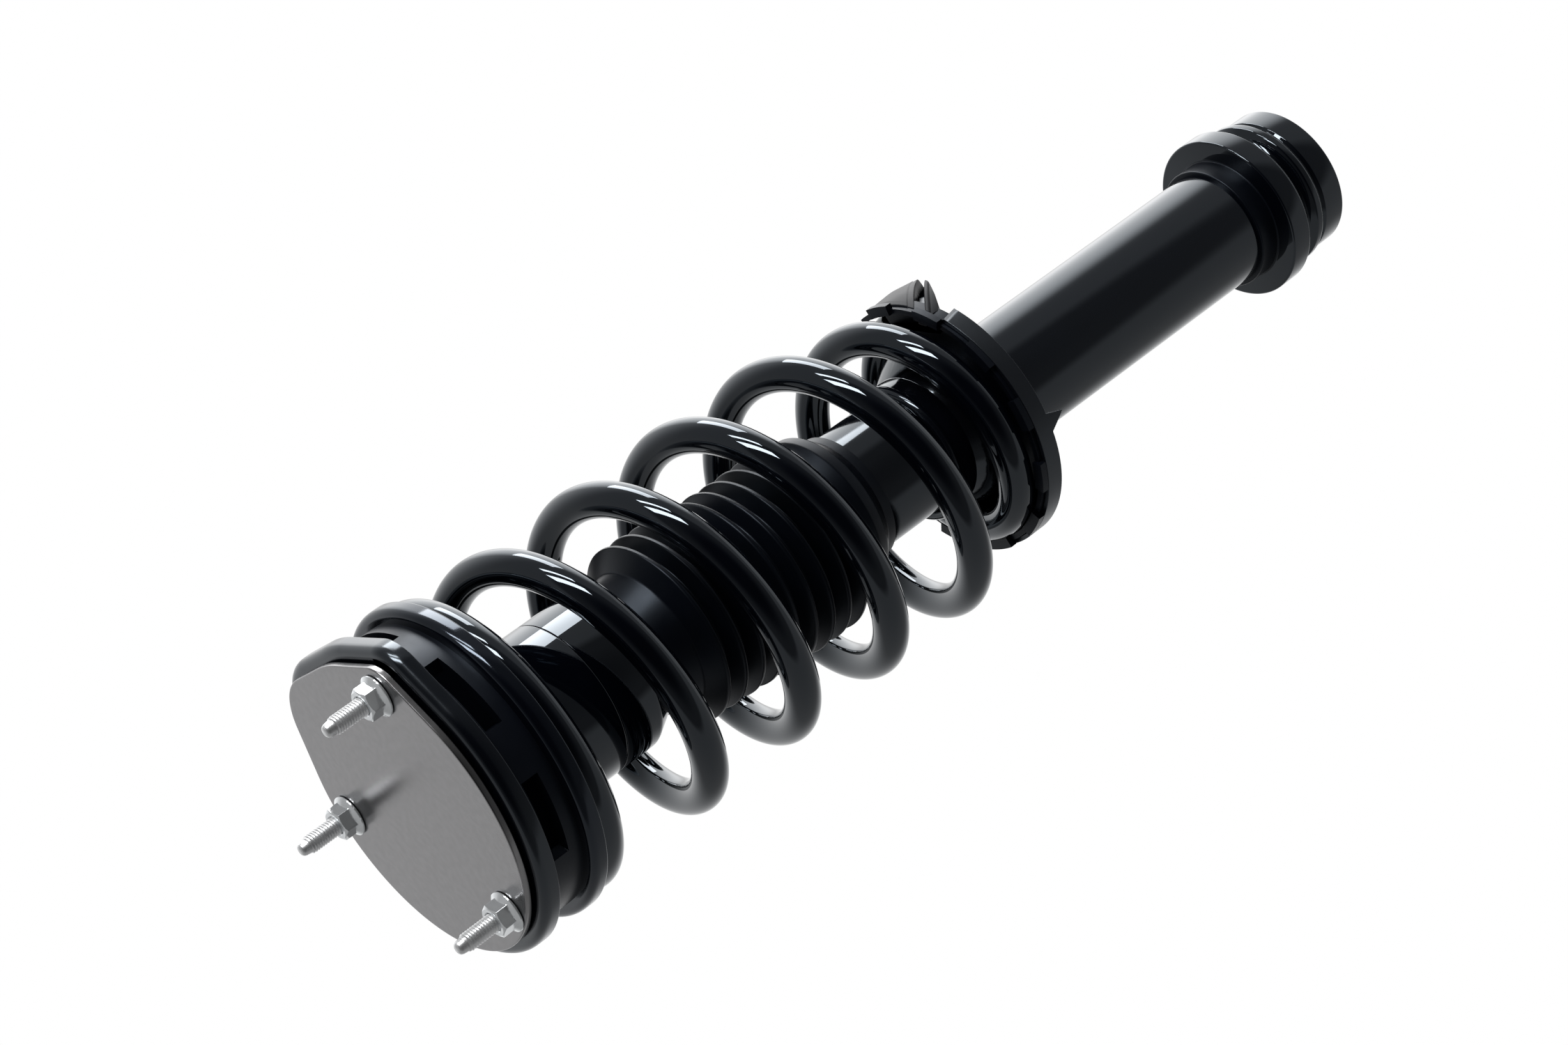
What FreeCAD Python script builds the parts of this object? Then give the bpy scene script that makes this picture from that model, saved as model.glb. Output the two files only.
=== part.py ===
import FreeCAD, Part
import math
import os

# Coil-over strut assembly, top mount up, in millimetres.
# The origin is the centre of the top plate's outer face, +Z runs up the strut's axis.
# A depth is a distance measured down from that face, so a depth of 40 lies at Z = -40.

# Fits
CLEAR = 0.3            # gap between parts that only rest against each other
RUN = 0.05             # radial gap of a sliding or threaded fit

# Top plate and the stamped housing under it
PLATE_ROUND = (3.7, 261.0, 66.6)  # distance from the axis, bearing in degrees, radius
CORNER_A = (55.8, 148.0, 15.0)
CORNER_B = (45.5, 220.5, 30.5)
PLATE_T = 3.0
HOUSING_MARGIN = 5.5   # how far the housing stands out past the plate
HOUSING_WALL = 2.5
HOUSING_HEIGHT = 10.0
HOUSING_ROUND = 4.5
HOUSING_HOLE_R = 24.0

# Studs and flange nuts
STUD_COUNT = 3
STUD_CENTRE = (2.1, 215.0)        # middle of the studs' circle, distance and bearing
STUD_PCD = 114.2
STUD_BEARING = 28.0    # bearing of the first stud from that middle
STUD_R = 4.0
STUD_NECK_R = 3.9       # the thread's root, inside the nut and the plate
STUD_NECK_SPARE = 0.4   # neck showing above the nut
STUD_LENGTH = 26.9     # how far a stud stands out of the plate
STUD_POINT_R = 2.8
STUD_POINT_LENGTH = 3.4
STUD_TAPER = 1.5
STUD_HEAD_R = 6.5
STUD_HEAD_T = 3.0
NUT_ACROSS_FLATS = 13.0
NUT_HEIGHT = 8.0
NUT_FLANGE_R = 9.2
NUT_FLANGE_T = 1.6

# Cast body of the mount, with its pockets
SPRING_CENTRE = (1.6, 190.0)      # middle of the body and the spring's upper end
BASE_R = 66.5
BASE_HEIGHT = 15.8     # height of the visible ring below the housing
BASE_BORE_R = 27.0
SPIGOT_R = 47.5
SPIGOT_HEIGHT = 9.2
POCKET_GROUPS = (122.0, 302.0)    # bearings of the middle pocket of each group of three
POCKET_STEP = 52.5
POCKET_ANGLE = 32.0
POCKET_TOP = 1.3       # from the housing's mouth to the pocket
POCKET_HEIGHT = 8.2
POCKET_DEPTH = 5.5

# Rubber-mounted inner sleeve of the mount, and what clamps the rod in it
SLEEVE_R = 12.0
SLEEVE_LENGTH = 17.5
WASHER_R = 22.0
WASHER_T = 2.5
RUBBER_INSET = 0.8
ROD_NUT_ACROSS_FLATS = 18.0
ROD_NUT_HEIGHT = 10.0
ROD_NUT_STANDOFF = 1.0  # rod end above the nut, and the plate above the rod end

# Upper spring isolator
ISOLATOR_SEAT_T = 3.4
LIP_ROOM = 0.05        # between the spring's first turn and the lip
LIP_WALL = 2.2
LIP_SKIRT = 4.4        # how far the lip reaches past the spring's seat
LIP_ROUND = 5.0

# Coil spring
WIRE_D = 15.3
COIL_R = 62.5          # mean radius of the free turns
COIL_END_R = 47.6
COIL_TURNS = 6.25
COIL_BEARING = 280.0   # bearing of the wire's upper end
COIL_PITCH = ((0.0, 0.0), (0.42, 0.0), (0.80, 46.0), (1.12, 76.0), (1.32, 54.0),
              (1.80, 53.0), (4.40, 50.6), (4.62, 60.0), (4.95, 58.0), (5.15, 30.0),
              (5.50, 27.0), (5.80, 32.0), (6.25, 31.5))   # turn, and the lead there per turn
COIL_CENTRING = (0.65, 1.40)      # turns between which the wire comes back to the strut's axis
COIL_NECK = (4.73, 5.70)          # turns between which the lower end narrows
COIL_LEAN = (5.6, 289.0)          # how far the fifth turn stands off the axis, and the bearing
COIL_LEAN_OUT = (4.48, 4.85)      # turns between which it moves off the axis
COIL_LEAN_BACK = (5.00, 5.60)     # turns between which it comes back

# Bump stop and its cup
CUP_R = 35.5
CUP_WALL = 1.8
CUP_HEIGHT = 43.0
CUP_FLANGE_R = 44.0
CUP_ROD_GAP = 2.0
BUMP_HEAD_HEIGHT = 20.0
BUMP_R = 23.0
BUMP_WAIST_R = 19.0
BUMP_LENGTH = 89.0
BUMP_TIP_R = 15.0
BUMP_ROD_GAP = 0.6

# Dust boot
BOOT_WALL = 1.4
BOOT_TUCK = 10.0       # length of the collar inside the cup
BOOT_COLLAR_R = 34.0
BOOT_COLLAR_LENGTH = 22.0
BOOT_WAIST_R = 28.5
BOOT_WAIST_DROP = 9.0
BOOT_BELL_R = 32.6
BOOT_BELL_DROP = 14.0
BOOT_RIBS = 9
BOOT_RIB_R = 41.6
BOOT_VALLEY_R = 34.5
BOOT_PITCH = 9.6
BOOT_CREST = 1.6
BOOT_FIRST_RIB = 5.8   # from the bell's end to the middle of the first rib
BOOT_CUFF_WIDE = 9.5   # how far the cuff stands out from the tube
BOOT_CUFF_DROP = 11.0
BOOT_LIP_DROP = 12.5
BOOT_LIP_WIDE = 2.5
BOOT_LIP_LENGTH = 4.0

# Rod, piston and what they carry
TRAVEL = 95.0          # stroke from full droop to the bump stop
ROD_R = 7.0
ROD_THREAD_R = 6.0
ROD_TAIL_R = 5.0
REBOUND_R = 12.0
REBOUND_T = 8.0
PISTON_T = 20.0
PISTON_BAND_T = 12.0
PISTON_BAND_DEEP = 1.2
SHIM_T = 1.5
SHIM_R = 13.0
PISTON_NUT_ACROSS_FLATS = 16.0
PISTON_NUT_HEIGHT = 8.0
TAIL_SPARE = 2.0       # rod thread showing past the piston nut

# Damper tubes
TUBE_R = 27.5
TUBE_WALL = 2.0
TUBE_LENGTH = 307.0
CAP_T = 2.0
CAP_SKIRT = 9.0
CAP_WALL = 1.2
SEAL_T = 5.0
GUIDE_T = 16.0
BUSH_WALL = 1.2
PRESSURE_R = 17.5      # bore of the inner tube
PRESSURE_WALL = 1.6
PRESSURE_SINK = 6.0    # how far the inner tube enters the guide and the base valve
BASE_VALVE_T = 14.0
BASE_VALVE_R = 21.0
BASE_CUP_T = 7.0

# Lower spring seat, which follows the end of the coil down a ramp
SEAT_ROOM = 0.35       # between the spring's last turn and the pad's lip
SEAT_WALL = 2.0
SEAT_RIM = 6.3         # height of the rim above the seat's floor
SEAT_RIM_START = -55.0
SEAT_RIM_ANGLE = 247.0
SEAT_CUT_R = 53.0      # edge of the ramp where the seat has no rim
SEAT_RAMP_STEPS = 20
SEAT_RAMP_ANGLE = 182.0
SEAT_RAMP_SPARE = 6.0  # degrees of ramp past the wire's end
SEAT_HUB_WALL = 3.3
SEAT_HUB_RISE = 30.3   # rises above the seat's floor
SEAT_NECK_RISE = 19.3
SEAT_CONE_RISE = 9.3
SEAT_CONE_R = 37.8
WELD_R = 2.4
SKIRT = ((192.0, -5.3), (185.0, 23.2), (172.0, 12.7), (154.0, -0.5), (144.0, -1.5))
FOLD = ((181.0, 0.0), (165.0, 13.5), (154.0, 5.7), (144.0, 0.0))
FIN = ((71.0, 1.0), (77.0, 10.7), (80.0, 1.0))   # bearing, and drop below the seat's floor
FOLD_R = 55.5

# Rubber pad of the lower seat
PAD_T = 1.6
PAD_LIP_WALL = 2.4
PAD_LIP_RISE = 8.0
PAD_TAB_RISE = 9.8
PAD_TAB_START = -35.0  # bearing of the first tab's middle
PAD_TAB_STEP = 30.0
PAD_TAB_ANGLE = 14.0
PAD_TABS = 8
PAD_COLLAR_WALL = 2.6
PAD_COLLAR_RISE = 12.0
PAD_COLLAR_START = 70.0
PAD_COLLAR_ANGLE = 110.0

# Collar and sleeve at the lower end
COLLAR_HUB_WALL = 1.9
COLLAR_HUB_RISE = 10.3
COLLAR_WALL = 11.7
COLLAR_T = 11.2
COLLAR_ROUND = 1.0
END_WALL = 6.7         # the turned end's own wall outside the tube
END_LENGTH = 29.4      # from the collar to the strut's lower face
END_LAND_WALL = 9.7
END_LAND_T = 1.6
END_NECK_WALL = 3.5
END_NECK_DROP = 3.2
END_BEAD_WALL = 8.1
END_BEAD_DROP = 10.6
END_BEAD_T = 3.6
END_GROOVE_WALL = 5.5
END_GROOVE_T = 2.2

AXIS = FreeCAD.Vector(0, 0, 1)
ORIGIN = FreeCAD.Vector(0, 0, 0)


def polar(radius, bearing, depth=0.0):
    """Point at a radius and bearing about the axis, at a depth."""
    angle = math.radians(bearing)
    return FreeCAD.Vector(radius * math.cos(angle), radius * math.sin(angle), -depth)


def ring(outer, inner, top, bottom):
    """Tube between two depths, or a disc where inner is 0."""
    height = bottom - top
    base = FreeCAD.Vector(0, 0, -bottom)
    shape = Part.makeCylinder(outer, height, base)
    if inner > 0:
        shape = shape.cut(Part.makeCylinder(inner, height, base))
    return shape


def turned(outline):
    """Solid turned from a closed outline of (radius, depth) points."""
    points = [FreeCAD.Vector(radius, 0, -depth) for radius, depth in outline]
    face = Part.Face(Part.makePolygon(points + points[:1]))
    return face.revolve(ORIGIN, AXIS, 360)


def hexagon(across_flats, top, bottom):
    """Hexagonal prism on the axis."""
    corner = across_flats / math.sqrt(3)
    points = [polar(corner, 60 * step, bottom) for step in range(7)]
    return Part.Face(Part.makePolygon(points)).extrude(FreeCAD.Vector(0, 0, bottom - top))


def sector(outer, inner, top, bottom, start, angle):
    """Piece of a tube from bearing start through angle degrees."""
    shape = Part.makeCylinder(outer, bottom - top, FreeCAD.Vector(0, 0, -bottom), AXIS, angle)
    shape = shape.cut(ring(inner, 0, top, bottom))
    shape.rotate(ORIGIN, AXIS, start)
    return shape


def outline(circles, depth):
    """Closed wire of arcs and tangent lines round circles given counter-clockwise."""
    normals = []
    for index, (centre, radius) in enumerate(circles):
        other, other_radius = circles[(index + 1) % len(circles)]
        along = other - centre
        length = along.Length
        along = along / length
        right = FreeCAD.Vector(along.y, -along.x, 0)
        lean = (radius - other_radius) / length
        normals.append(along * lean + right * math.sqrt(1 - lean * lean))
    edges = []
    drop = FreeCAD.Vector(0, 0, -depth)
    for index, (centre, radius) in enumerate(circles):
        first = normals[index - 1]
        last = normals[index]
        turn = math.atan2(first.cross(last).z, first.dot(last)) % (2 * math.pi)
        spin = FreeCAD.Rotation(AXIS, math.degrees(turn / 2))
        middle = spin.multVec(first)
        ends = [centre + drop + normal * radius for normal in (first, middle, last)]
        edges.append(Part.Arc(*ends).toShape())
        after, after_radius = circles[(index + 1) % len(circles)]
        edges.append(Part.makeLine(ends[2], after + drop + last * after_radius))
    return Part.Wire(edges)


def plate_outline(grow, depth):
    """The top plate's outline, made larger all round by grow."""
    circles = [(polar(distance, bearing), radius + grow)
               for distance, bearing, radius in (PLATE_ROUND, CORNER_A, CORNER_B)]
    return outline(circles, depth)


def slab(grow, top, bottom):
    """Plate of the top plate's outline between two depths."""
    face = Part.Face(plate_outline(grow, bottom))
    return face.extrude(FreeCAD.Vector(0, 0, bottom - top))


def bent_plate(outer, inner, corners):
    """Plate bent round the axis between two radii, with corners of (bearing, depth)."""
    bearings = [bearing for bearing, depth in corners]
    depths = [depth for bearing, depth in corners]
    middle = (min(bearings) + max(bearings)) / 2
    points = []
    for bearing, depth in corners:
        points.append(FreeCAD.Vector(0, outer * math.sin(math.radians(bearing - middle)), -depth))
    plate = Part.Face(Part.makePolygon(points + points[:1]))
    plate = plate.extrude(FreeCAD.Vector(outer + 1, 0, 0))
    plate.rotate(ORIGIN, AXIS, middle)
    return plate.common(ring(outer, inner, min(depths), max(depths)))


def smooth(value, start, end):
    """0 before start, 1 after end, with level ends, and its slope."""
    share = min(max((value - start) / (end - start), 0.0), 1.0)
    height = share * share * (3 - 2 * share)
    slope = 6 * share * (1 - share) / (end - start)
    return height, slope


def save(name, shape):
    """Write one node and print its size."""
    shape = shape.removeSplitter()
    shape.exportStep("parts/" + name + ".step")
    print(name, "valid", shape.isValid(), "solids", len(shape.Solids), "volume", round(shape.Volume))
    return shape


os.makedirs("parts", exist_ok=True)

# Levels down the strut, as depths, and the radii that follow the spring
housing_top = PLATE_T
housing_mouth = housing_top + HOUSING_HEIGHT
base_top = housing_top + HOUSING_WALL + CLEAR
base_bottom = housing_mouth + BASE_HEIGHT
spigot_bottom = base_bottom + SPIGOT_HEIGHT
spring_seat = base_bottom + ISOLATOR_SEAT_T
lip_r = COIL_R + WIRE_D / 2 + LIP_ROOM + LIP_WALL
pad_lip_r = COIL_END_R + WIRE_D / 2 + SEAT_ROOM
seat_r = pad_lip_r + PAD_LIP_WALL + CLEAR + SEAT_WALL
rod_top = PLATE_T + ROD_NUT_STANDOFF
rod_nut_top = rod_top + ROD_NUT_STANDOFF
rod_nut_bottom = rod_nut_top + ROD_NUT_HEIGHT
sleeve_top = rod_nut_bottom + WASHER_T
sleeve_bottom = sleeve_top + SLEEVE_LENGTH
rod_shoulder = sleeve_bottom + WASHER_T
cup_top = spigot_bottom
cup_bottom = cup_top + CUP_HEIGHT
bump_bottom = cup_top + CUP_WALL + BUMP_LENGTH
tube_top = bump_bottom + CLEAR + TRAVEL + CAP_T
tube_bottom = tube_top + TUBE_LENGTH


def stud_spots():
    """Middle of each stud on the plate's face."""
    middle = polar(*STUD_CENTRE)
    step = 360.0 / STUD_COUNT
    return [middle + polar(STUD_PCD / 2, STUD_BEARING + step * index)
            for index in range(STUD_COUNT)]


def make_mount():
    """Top plate, housing, studs and nuts."""
    stud_hole = STUD_R + RUN
    plate = slab(0, 0, PLATE_T)
    housing = slab(HOUSING_MARGIN, housing_top, housing_mouth)
    upper_edges = [edge for edge in housing.Edges if edge.BoundBox.ZMin > -housing_top - 0.01]
    housing = housing.makeFillet(HOUSING_ROUND, upper_edges)
    hollow = slab(HOUSING_MARGIN - HOUSING_WALL, housing_top + HOUSING_WALL, housing_mouth + 1)
    upper_edges = [edge for edge in hollow.Edges
                   if edge.BoundBox.ZMin > -housing_top - HOUSING_WALL - 0.01]
    hollow = hollow.makeFillet(HOUSING_ROUND - HOUSING_WALL, upper_edges)
    housing = housing.cut(hollow)
    housing = housing.cut(ring(HOUSING_HOLE_R, 0, housing_top - 1, housing_mouth))

    studs = []
    nuts = []
    for spot in stud_spots():
        hole = ring(stud_hole, 0, -1, housing_mouth)
        hole.translate(spot)
        plate = plate.cut(hole)
        housing = housing.cut(hole)

        nut_top = -CLEAR - NUT_HEIGHT
        shank_top = -STUD_LENGTH + STUD_POINT_LENGTH + STUD_TAPER
        neck_top = nut_top - STUD_NECK_SPARE
        head_top = housing_top + HOUSING_WALL
        stud = turned([(0, -STUD_LENGTH), (STUD_POINT_R - 0.6, -STUD_LENGTH),
                       (STUD_POINT_R, -STUD_LENGTH + 0.8),
                       (STUD_POINT_R, -STUD_LENGTH + STUD_POINT_LENGTH),
                       (STUD_R, shank_top), (STUD_R, neck_top), (STUD_NECK_R, neck_top),
                       (STUD_NECK_R, head_top), (STUD_HEAD_R, head_top),
                       (STUD_HEAD_R, head_top + STUD_HEAD_T), (0, head_top + STUD_HEAD_T)])
        stud.translate(spot)
        studs.append(stud)

        flange_top = -CLEAR - NUT_FLANGE_T
        nut = hexagon(NUT_ACROSS_FLATS, nut_top, -CLEAR)
        nut = nut.fuse(turned([(0, flange_top - 1.6), (NUT_ACROSS_FLATS / 2, flange_top - 1.6),
                               (NUT_FLANGE_R, flange_top + 0.6), (NUT_FLANGE_R, -CLEAR),
                               (0, -CLEAR)]))
        corner = NUT_ACROSS_FLATS / math.sqrt(3)
        chamfer = turned([(0, nut_top), (NUT_ACROSS_FLATS / 2, nut_top),
                          (corner, nut_top + 0.9), (NUT_FLANGE_R, nut_top + 0.9),
                          (NUT_FLANGE_R, -CLEAR), (0, -CLEAR)])
        nut = nut.common(chamfer)
        nut = nut.cut(ring(stud_hole, 0, nut_top - 1, 0))
        nut.translate(spot)
        nuts.append(nut)

    save("mount_studs", Part.makeCompound(studs))
    save("flange_nuts", Part.makeCompound(nuts))
    save("top_plate", plate)
    save("mount_housing", housing)


def make_mount_body():
    """Moulded body with pockets, rubber, sleeve, washers and rod nut."""
    body = slab(HOUSING_MARGIN - HOUSING_WALL - CLEAR, base_top, housing_mouth)
    upper_edges = [edge for edge in body.Edges if edge.BoundBox.ZMin > -base_top - 0.01]
    body = body.makeFillet(HOUSING_ROUND - HOUSING_WALL, upper_edges)
    head_room = housing_top + HOUSING_WALL + STUD_HEAD_T + CLEAR
    for spot in stud_spots():
        room = ring(STUD_HEAD_R + CLEAR, 0, base_top - 1, head_room)
        room.translate(spot)
        body = body.cut(room)
    middle_shift = polar(*SPRING_CENTRE)
    for part in (ring(BASE_R, 0, housing_mouth, base_bottom),
                 ring(SPIGOT_R, 0, base_bottom, spigot_bottom)):
        part.translate(middle_shift)
        body = body.fuse(part)
    body = body.cut(ring(BASE_BORE_R, 0, 0, spigot_bottom + 1))
    pocket_top = housing_mouth + POCKET_TOP
    for middle in POCKET_GROUPS:
        for step in (-1, 0, 1):
            start = middle + step * POCKET_STEP - POCKET_ANGLE / 2
            pocket = sector(BASE_R + 1, BASE_R - POCKET_DEPTH, pocket_top,
                            pocket_top + POCKET_HEIGHT, start, POCKET_ANGLE)
            pocket.translate(middle_shift)
            body = body.cut(pocket)
    save("mount_base", body)

    save("inner_sleeve", ring(SLEEVE_R, ROD_THREAD_R + RUN, sleeve_top, sleeve_bottom))
    save("mount_rubber", ring(BASE_BORE_R, SLEEVE_R, sleeve_top + RUBBER_INSET,
                              sleeve_bottom - RUBBER_INSET))
    bore = ROD_THREAD_R + RUN
    save("upper_washer", ring(WASHER_R, bore, rod_nut_bottom, sleeve_top))
    save("lower_washer", ring(WASHER_R, bore, sleeve_bottom, rod_shoulder - CLEAR))
    nut = hexagon(ROD_NUT_ACROSS_FLATS, rod_nut_top, rod_nut_bottom)
    save("rod_nut", nut.cut(ring(bore, 0, 0, rod_shoulder)))


def make_upper_isolator():
    """Rubber ring under the mount, whose lip covers the edge of the spring's end turn."""
    inner = SPIGOT_R + CLEAR
    lip_bottom = spring_seat + LIP_SKIRT
    isolator = ring(lip_r, inner, base_bottom, lip_bottom)
    upper_edges = [edge for edge in isolator.Edges
                   if edge.BoundBox.ZMin > -base_bottom - 0.01 and edge.BoundBox.XMax > lip_r - 1]
    isolator = isolator.makeFillet(LIP_ROUND, upper_edges)
    isolator = isolator.cut(ring(lip_r - LIP_WALL, 0, spring_seat, lip_bottom + 1))
    isolator.translate(polar(*SPRING_CENTRE))
    save("upper_isolator", isolator)


def coil_lead(turn):
    """How far the wire has gone down by this turn, and its lead there, per turn."""
    drop = 0.0
    for (start, first), (end, last) in zip(COIL_PITCH, COIL_PITCH[1:]):
        reach = min(max(turn - start, 0.0), end - start)
        lead = first + (last - first) * reach / (end - start)
        drop += reach * (first + lead) / 2
        if turn <= end:
            return drop, lead
    return drop + (turn - COIL_PITCH[-1][0]) * COIL_PITCH[-1][1], COIL_PITCH[-1][1]


def coil_state(turn):
    """Middle of the wire at a turn, and the wire's direction there."""
    centring, centring_slope = smooth(turn, *COIL_CENTRING)
    neck, neck_slope = smooth(turn, *COIL_NECK)
    radius = COIL_R - (COIL_R - COIL_END_R) * neck
    out_share, out_slope = smooth(turn, *COIL_LEAN_OUT)
    back_share, back_slope = smooth(turn, *COIL_LEAN_BACK)
    lean = out_share * (1 - back_share)
    lean_slope = out_slope * (1 - back_share) - out_share * back_slope
    drop, lead = coil_lead(turn)
    bearing = COIL_BEARING - 360 * turn
    depth = spring_seat + CLEAR + WIRE_D / 2 + drop
    out = polar(1, bearing)
    round_axis = polar(1, bearing - 90)
    aside = polar(*SPRING_CENTRE)
    leaning = polar(*COIL_LEAN)
    spot = polar(radius, bearing, depth) + aside * (1 - centring) + leaning * lean
    heading = out * ((COIL_END_R - COIL_R) * neck_slope)
    heading += leaning * lean_slope - aside * centring_slope
    heading += round_axis * (2 * math.pi * radius) - AXIS * lead
    heading.normalize()
    return spot, heading


def biarc(start, start_way, end, end_way):
    """Two arcs that leave start along start_way and reach end along end_way."""
    chord = end - start
    ways = start_way + end_way
    turn = 2 * (1 - start_way.dot(end_way))
    slope = chord.dot(ways)
    reach = (math.sqrt(slope * slope + turn * chord.dot(chord)) - slope) / turn
    first = start + start_way * reach
    second = end - end_way * reach
    joint = (first + second) / 2
    arcs = []
    for tail, tip, corner in ((start, joint, first), (joint, end, second)):
        middle = (tail + tip) / 2
        half = (tip - tail).Length / 2
        bulge = corner - middle
        lean = math.atan2(bulge.Length, half)
        bulge.normalize()
        top = middle + bulge * (half * math.tan(lean / 2))
        arcs.append(Part.Arc(tail, top, tip).toShape())
    return arcs


def least_gap(points, reach, wire):
    """Smallest gap between stretches of a wire that lie further apart along it than reach."""
    least = None
    for index, point in enumerate(points):
        for other in points[index + reach:]:
            gap = point.distanceToPoint(other) - wire
            if least is None or gap < least:
                least = gap
    return least


def make_coil():
    """One unbroken wire of quarter-turn biarcs."""
    count = int(math.ceil(COIL_TURNS * 4))
    stops = [COIL_TURNS * step / count for step in range(count + 1)]
    states = [coil_state(turn) for turn in stops]
    edges = []
    for (start, start_way), (end, end_way) in zip(states, states[1:]):
        edges += biarc(start, start_way, end, end_way)
    path = Part.Wire(edges)
    circle = Part.Circle(*states[0], WIRE_D / 2)
    coil = path.makePipeShell([Part.Wire(circle.toShape())], True, False)
    samples = 24
    points = [coil_state(step / samples)[0] for step in range(int(COIL_TURNS * samples) + 1)]
    print("coil least gap", round(least_gap(points, samples // 2, WIRE_D), 2))
    tube_volume = path.Length * math.pi * WIRE_D ** 2 / 4
    print("coil volume over section times length", round(coil.Volume / tube_volume, 4))
    save("coil_spring", coil)


def make_bump_stop():
    """Steel cup on the mount's body and the elastomer stop inside it."""
    flange_bottom = cup_top + CUP_WALL
    cup = ring(CUP_FLANGE_R, 0, cup_top, flange_bottom)
    cup = cup.fuse(ring(CUP_R, 0, cup_top, cup_bottom))
    lower_edges = [edge for edge in cup.Edges if edge.BoundBox.ZMax < -cup_bottom + 0.01]
    cup = cup.makeFillet(CUP_WALL * 0.9, lower_edges)
    cup = cup.cut(ring(CUP_R - CUP_WALL, 0, flange_bottom, cup_bottom + 1))
    cup = cup.cut(ring(ROD_R + CUP_ROD_GAP, 0, 0, cup_bottom))
    save("bump_stop_cup", cup)

    head_r = CUP_R - CUP_WALL - CLEAR
    head_bottom = flange_bottom + BUMP_HEAD_HEIGHT
    bore = ROD_R + BUMP_ROD_GAP
    body = bump_bottom - head_bottom
    save("bump_stop", turned([
        (bore, flange_bottom), (head_r, flange_bottom), (head_r, head_bottom - 4),
        (BUMP_R, head_bottom), (BUMP_R, head_bottom + body * 0.30),
        (BUMP_WAIST_R, head_bottom + body * 0.42), (BUMP_R - 2, head_bottom + body * 0.56),
        (BUMP_R - 2, head_bottom + body * 0.70), (BUMP_WAIST_R - 2, head_bottom + body * 0.82),
        (BUMP_TIP_R, bump_bottom - 3), (BUMP_TIP_R - 2, bump_bottom), (bore, bump_bottom)]))


def boot_profile():
    """Radius and depth of the boot's outer circles, from the cup to the tube."""
    start = cup_bottom - BOOT_TUCK
    tucked = CUP_R - CUP_WALL - CLEAR
    collar_end = cup_bottom + BOOT_COLLAR_LENGTH
    waist = collar_end + BOOT_WAIST_DROP
    bell = waist + BOOT_BELL_DROP
    circles = [(tucked, start), (tucked, cup_bottom + 0.6), (BOOT_COLLAR_R, cup_bottom + 2.0),
               (BOOT_COLLAR_R, collar_end - 3), (BOOT_COLLAR_R - 1.6, collar_end),
               (BOOT_WAIST_R, waist), (BOOT_WAIST_R + 0.6, waist + 3),
               (BOOT_BELL_R - 1.2, bell - 3), (BOOT_BELL_R, bell)]
    first = bell + BOOT_FIRST_RIB
    for rib in range(BOOT_RIBS):
        middle = first + rib * BOOT_PITCH
        low = middle + BOOT_PITCH / 2
        circles += [(BOOT_RIB_R, middle - BOOT_CREST / 2), (BOOT_RIB_R, middle + BOOT_CREST / 2),
                    (BOOT_VALLEY_R, low - BOOT_CREST / 2), (BOOT_VALLEY_R, low + BOOT_CREST / 2)]
    last = circles[-1][1]
    lip = last + BOOT_CUFF_DROP + BOOT_LIP_DROP
    cuff_r = TUBE_R + BOOT_CUFF_WIDE
    lip_at = TUBE_R + BOOT_LIP_WIDE
    circles += [(cuff_r - 0.8, last + BOOT_CUFF_DROP * 0.5), (cuff_r, last + BOOT_CUFF_DROP),
                (cuff_r - 1.4, lip - BOOT_LIP_DROP * 0.55), (lip_at, lip - 1),
                (lip_at - 0.6, lip + BOOT_LIP_LENGTH)]
    return circles


def loft_circles(circles):
    """Ruled loft through circles on the axis, all with the same start direction."""
    wires = []
    for radius, depth in circles:
        circle = Part.Circle(FreeCAD.Vector(0, 0, -depth), AXIS, radius)
        circle.XAxis = FreeCAD.Vector(1, 0, 0)
        wires.append(Part.Wire(circle.toShape()))
    return Part.makeLoft(wires, True, True)


def make_boot():
    """Ribbed rubber boot with its bore, open at both ends."""
    outer = boot_profile()
    inner = [(radius - BOOT_WALL, depth) for radius, depth in outer]
    floor = TUBE_R + CLEAR
    inner = [(max(radius, floor), depth) for radius, depth in inner]
    inner[0] = (inner[0][0], inner[0][1] - 1)
    inner[-1] = (inner[-1][0], inner[-1][1] + 1)
    boot = loft_circles(outer).cut(loft_circles(inner))
    save("dust_boot", boot)
    print("boot ends at depth", round(outer[-1][1], 2), "tube starts at", round(tube_top, 2))


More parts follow.
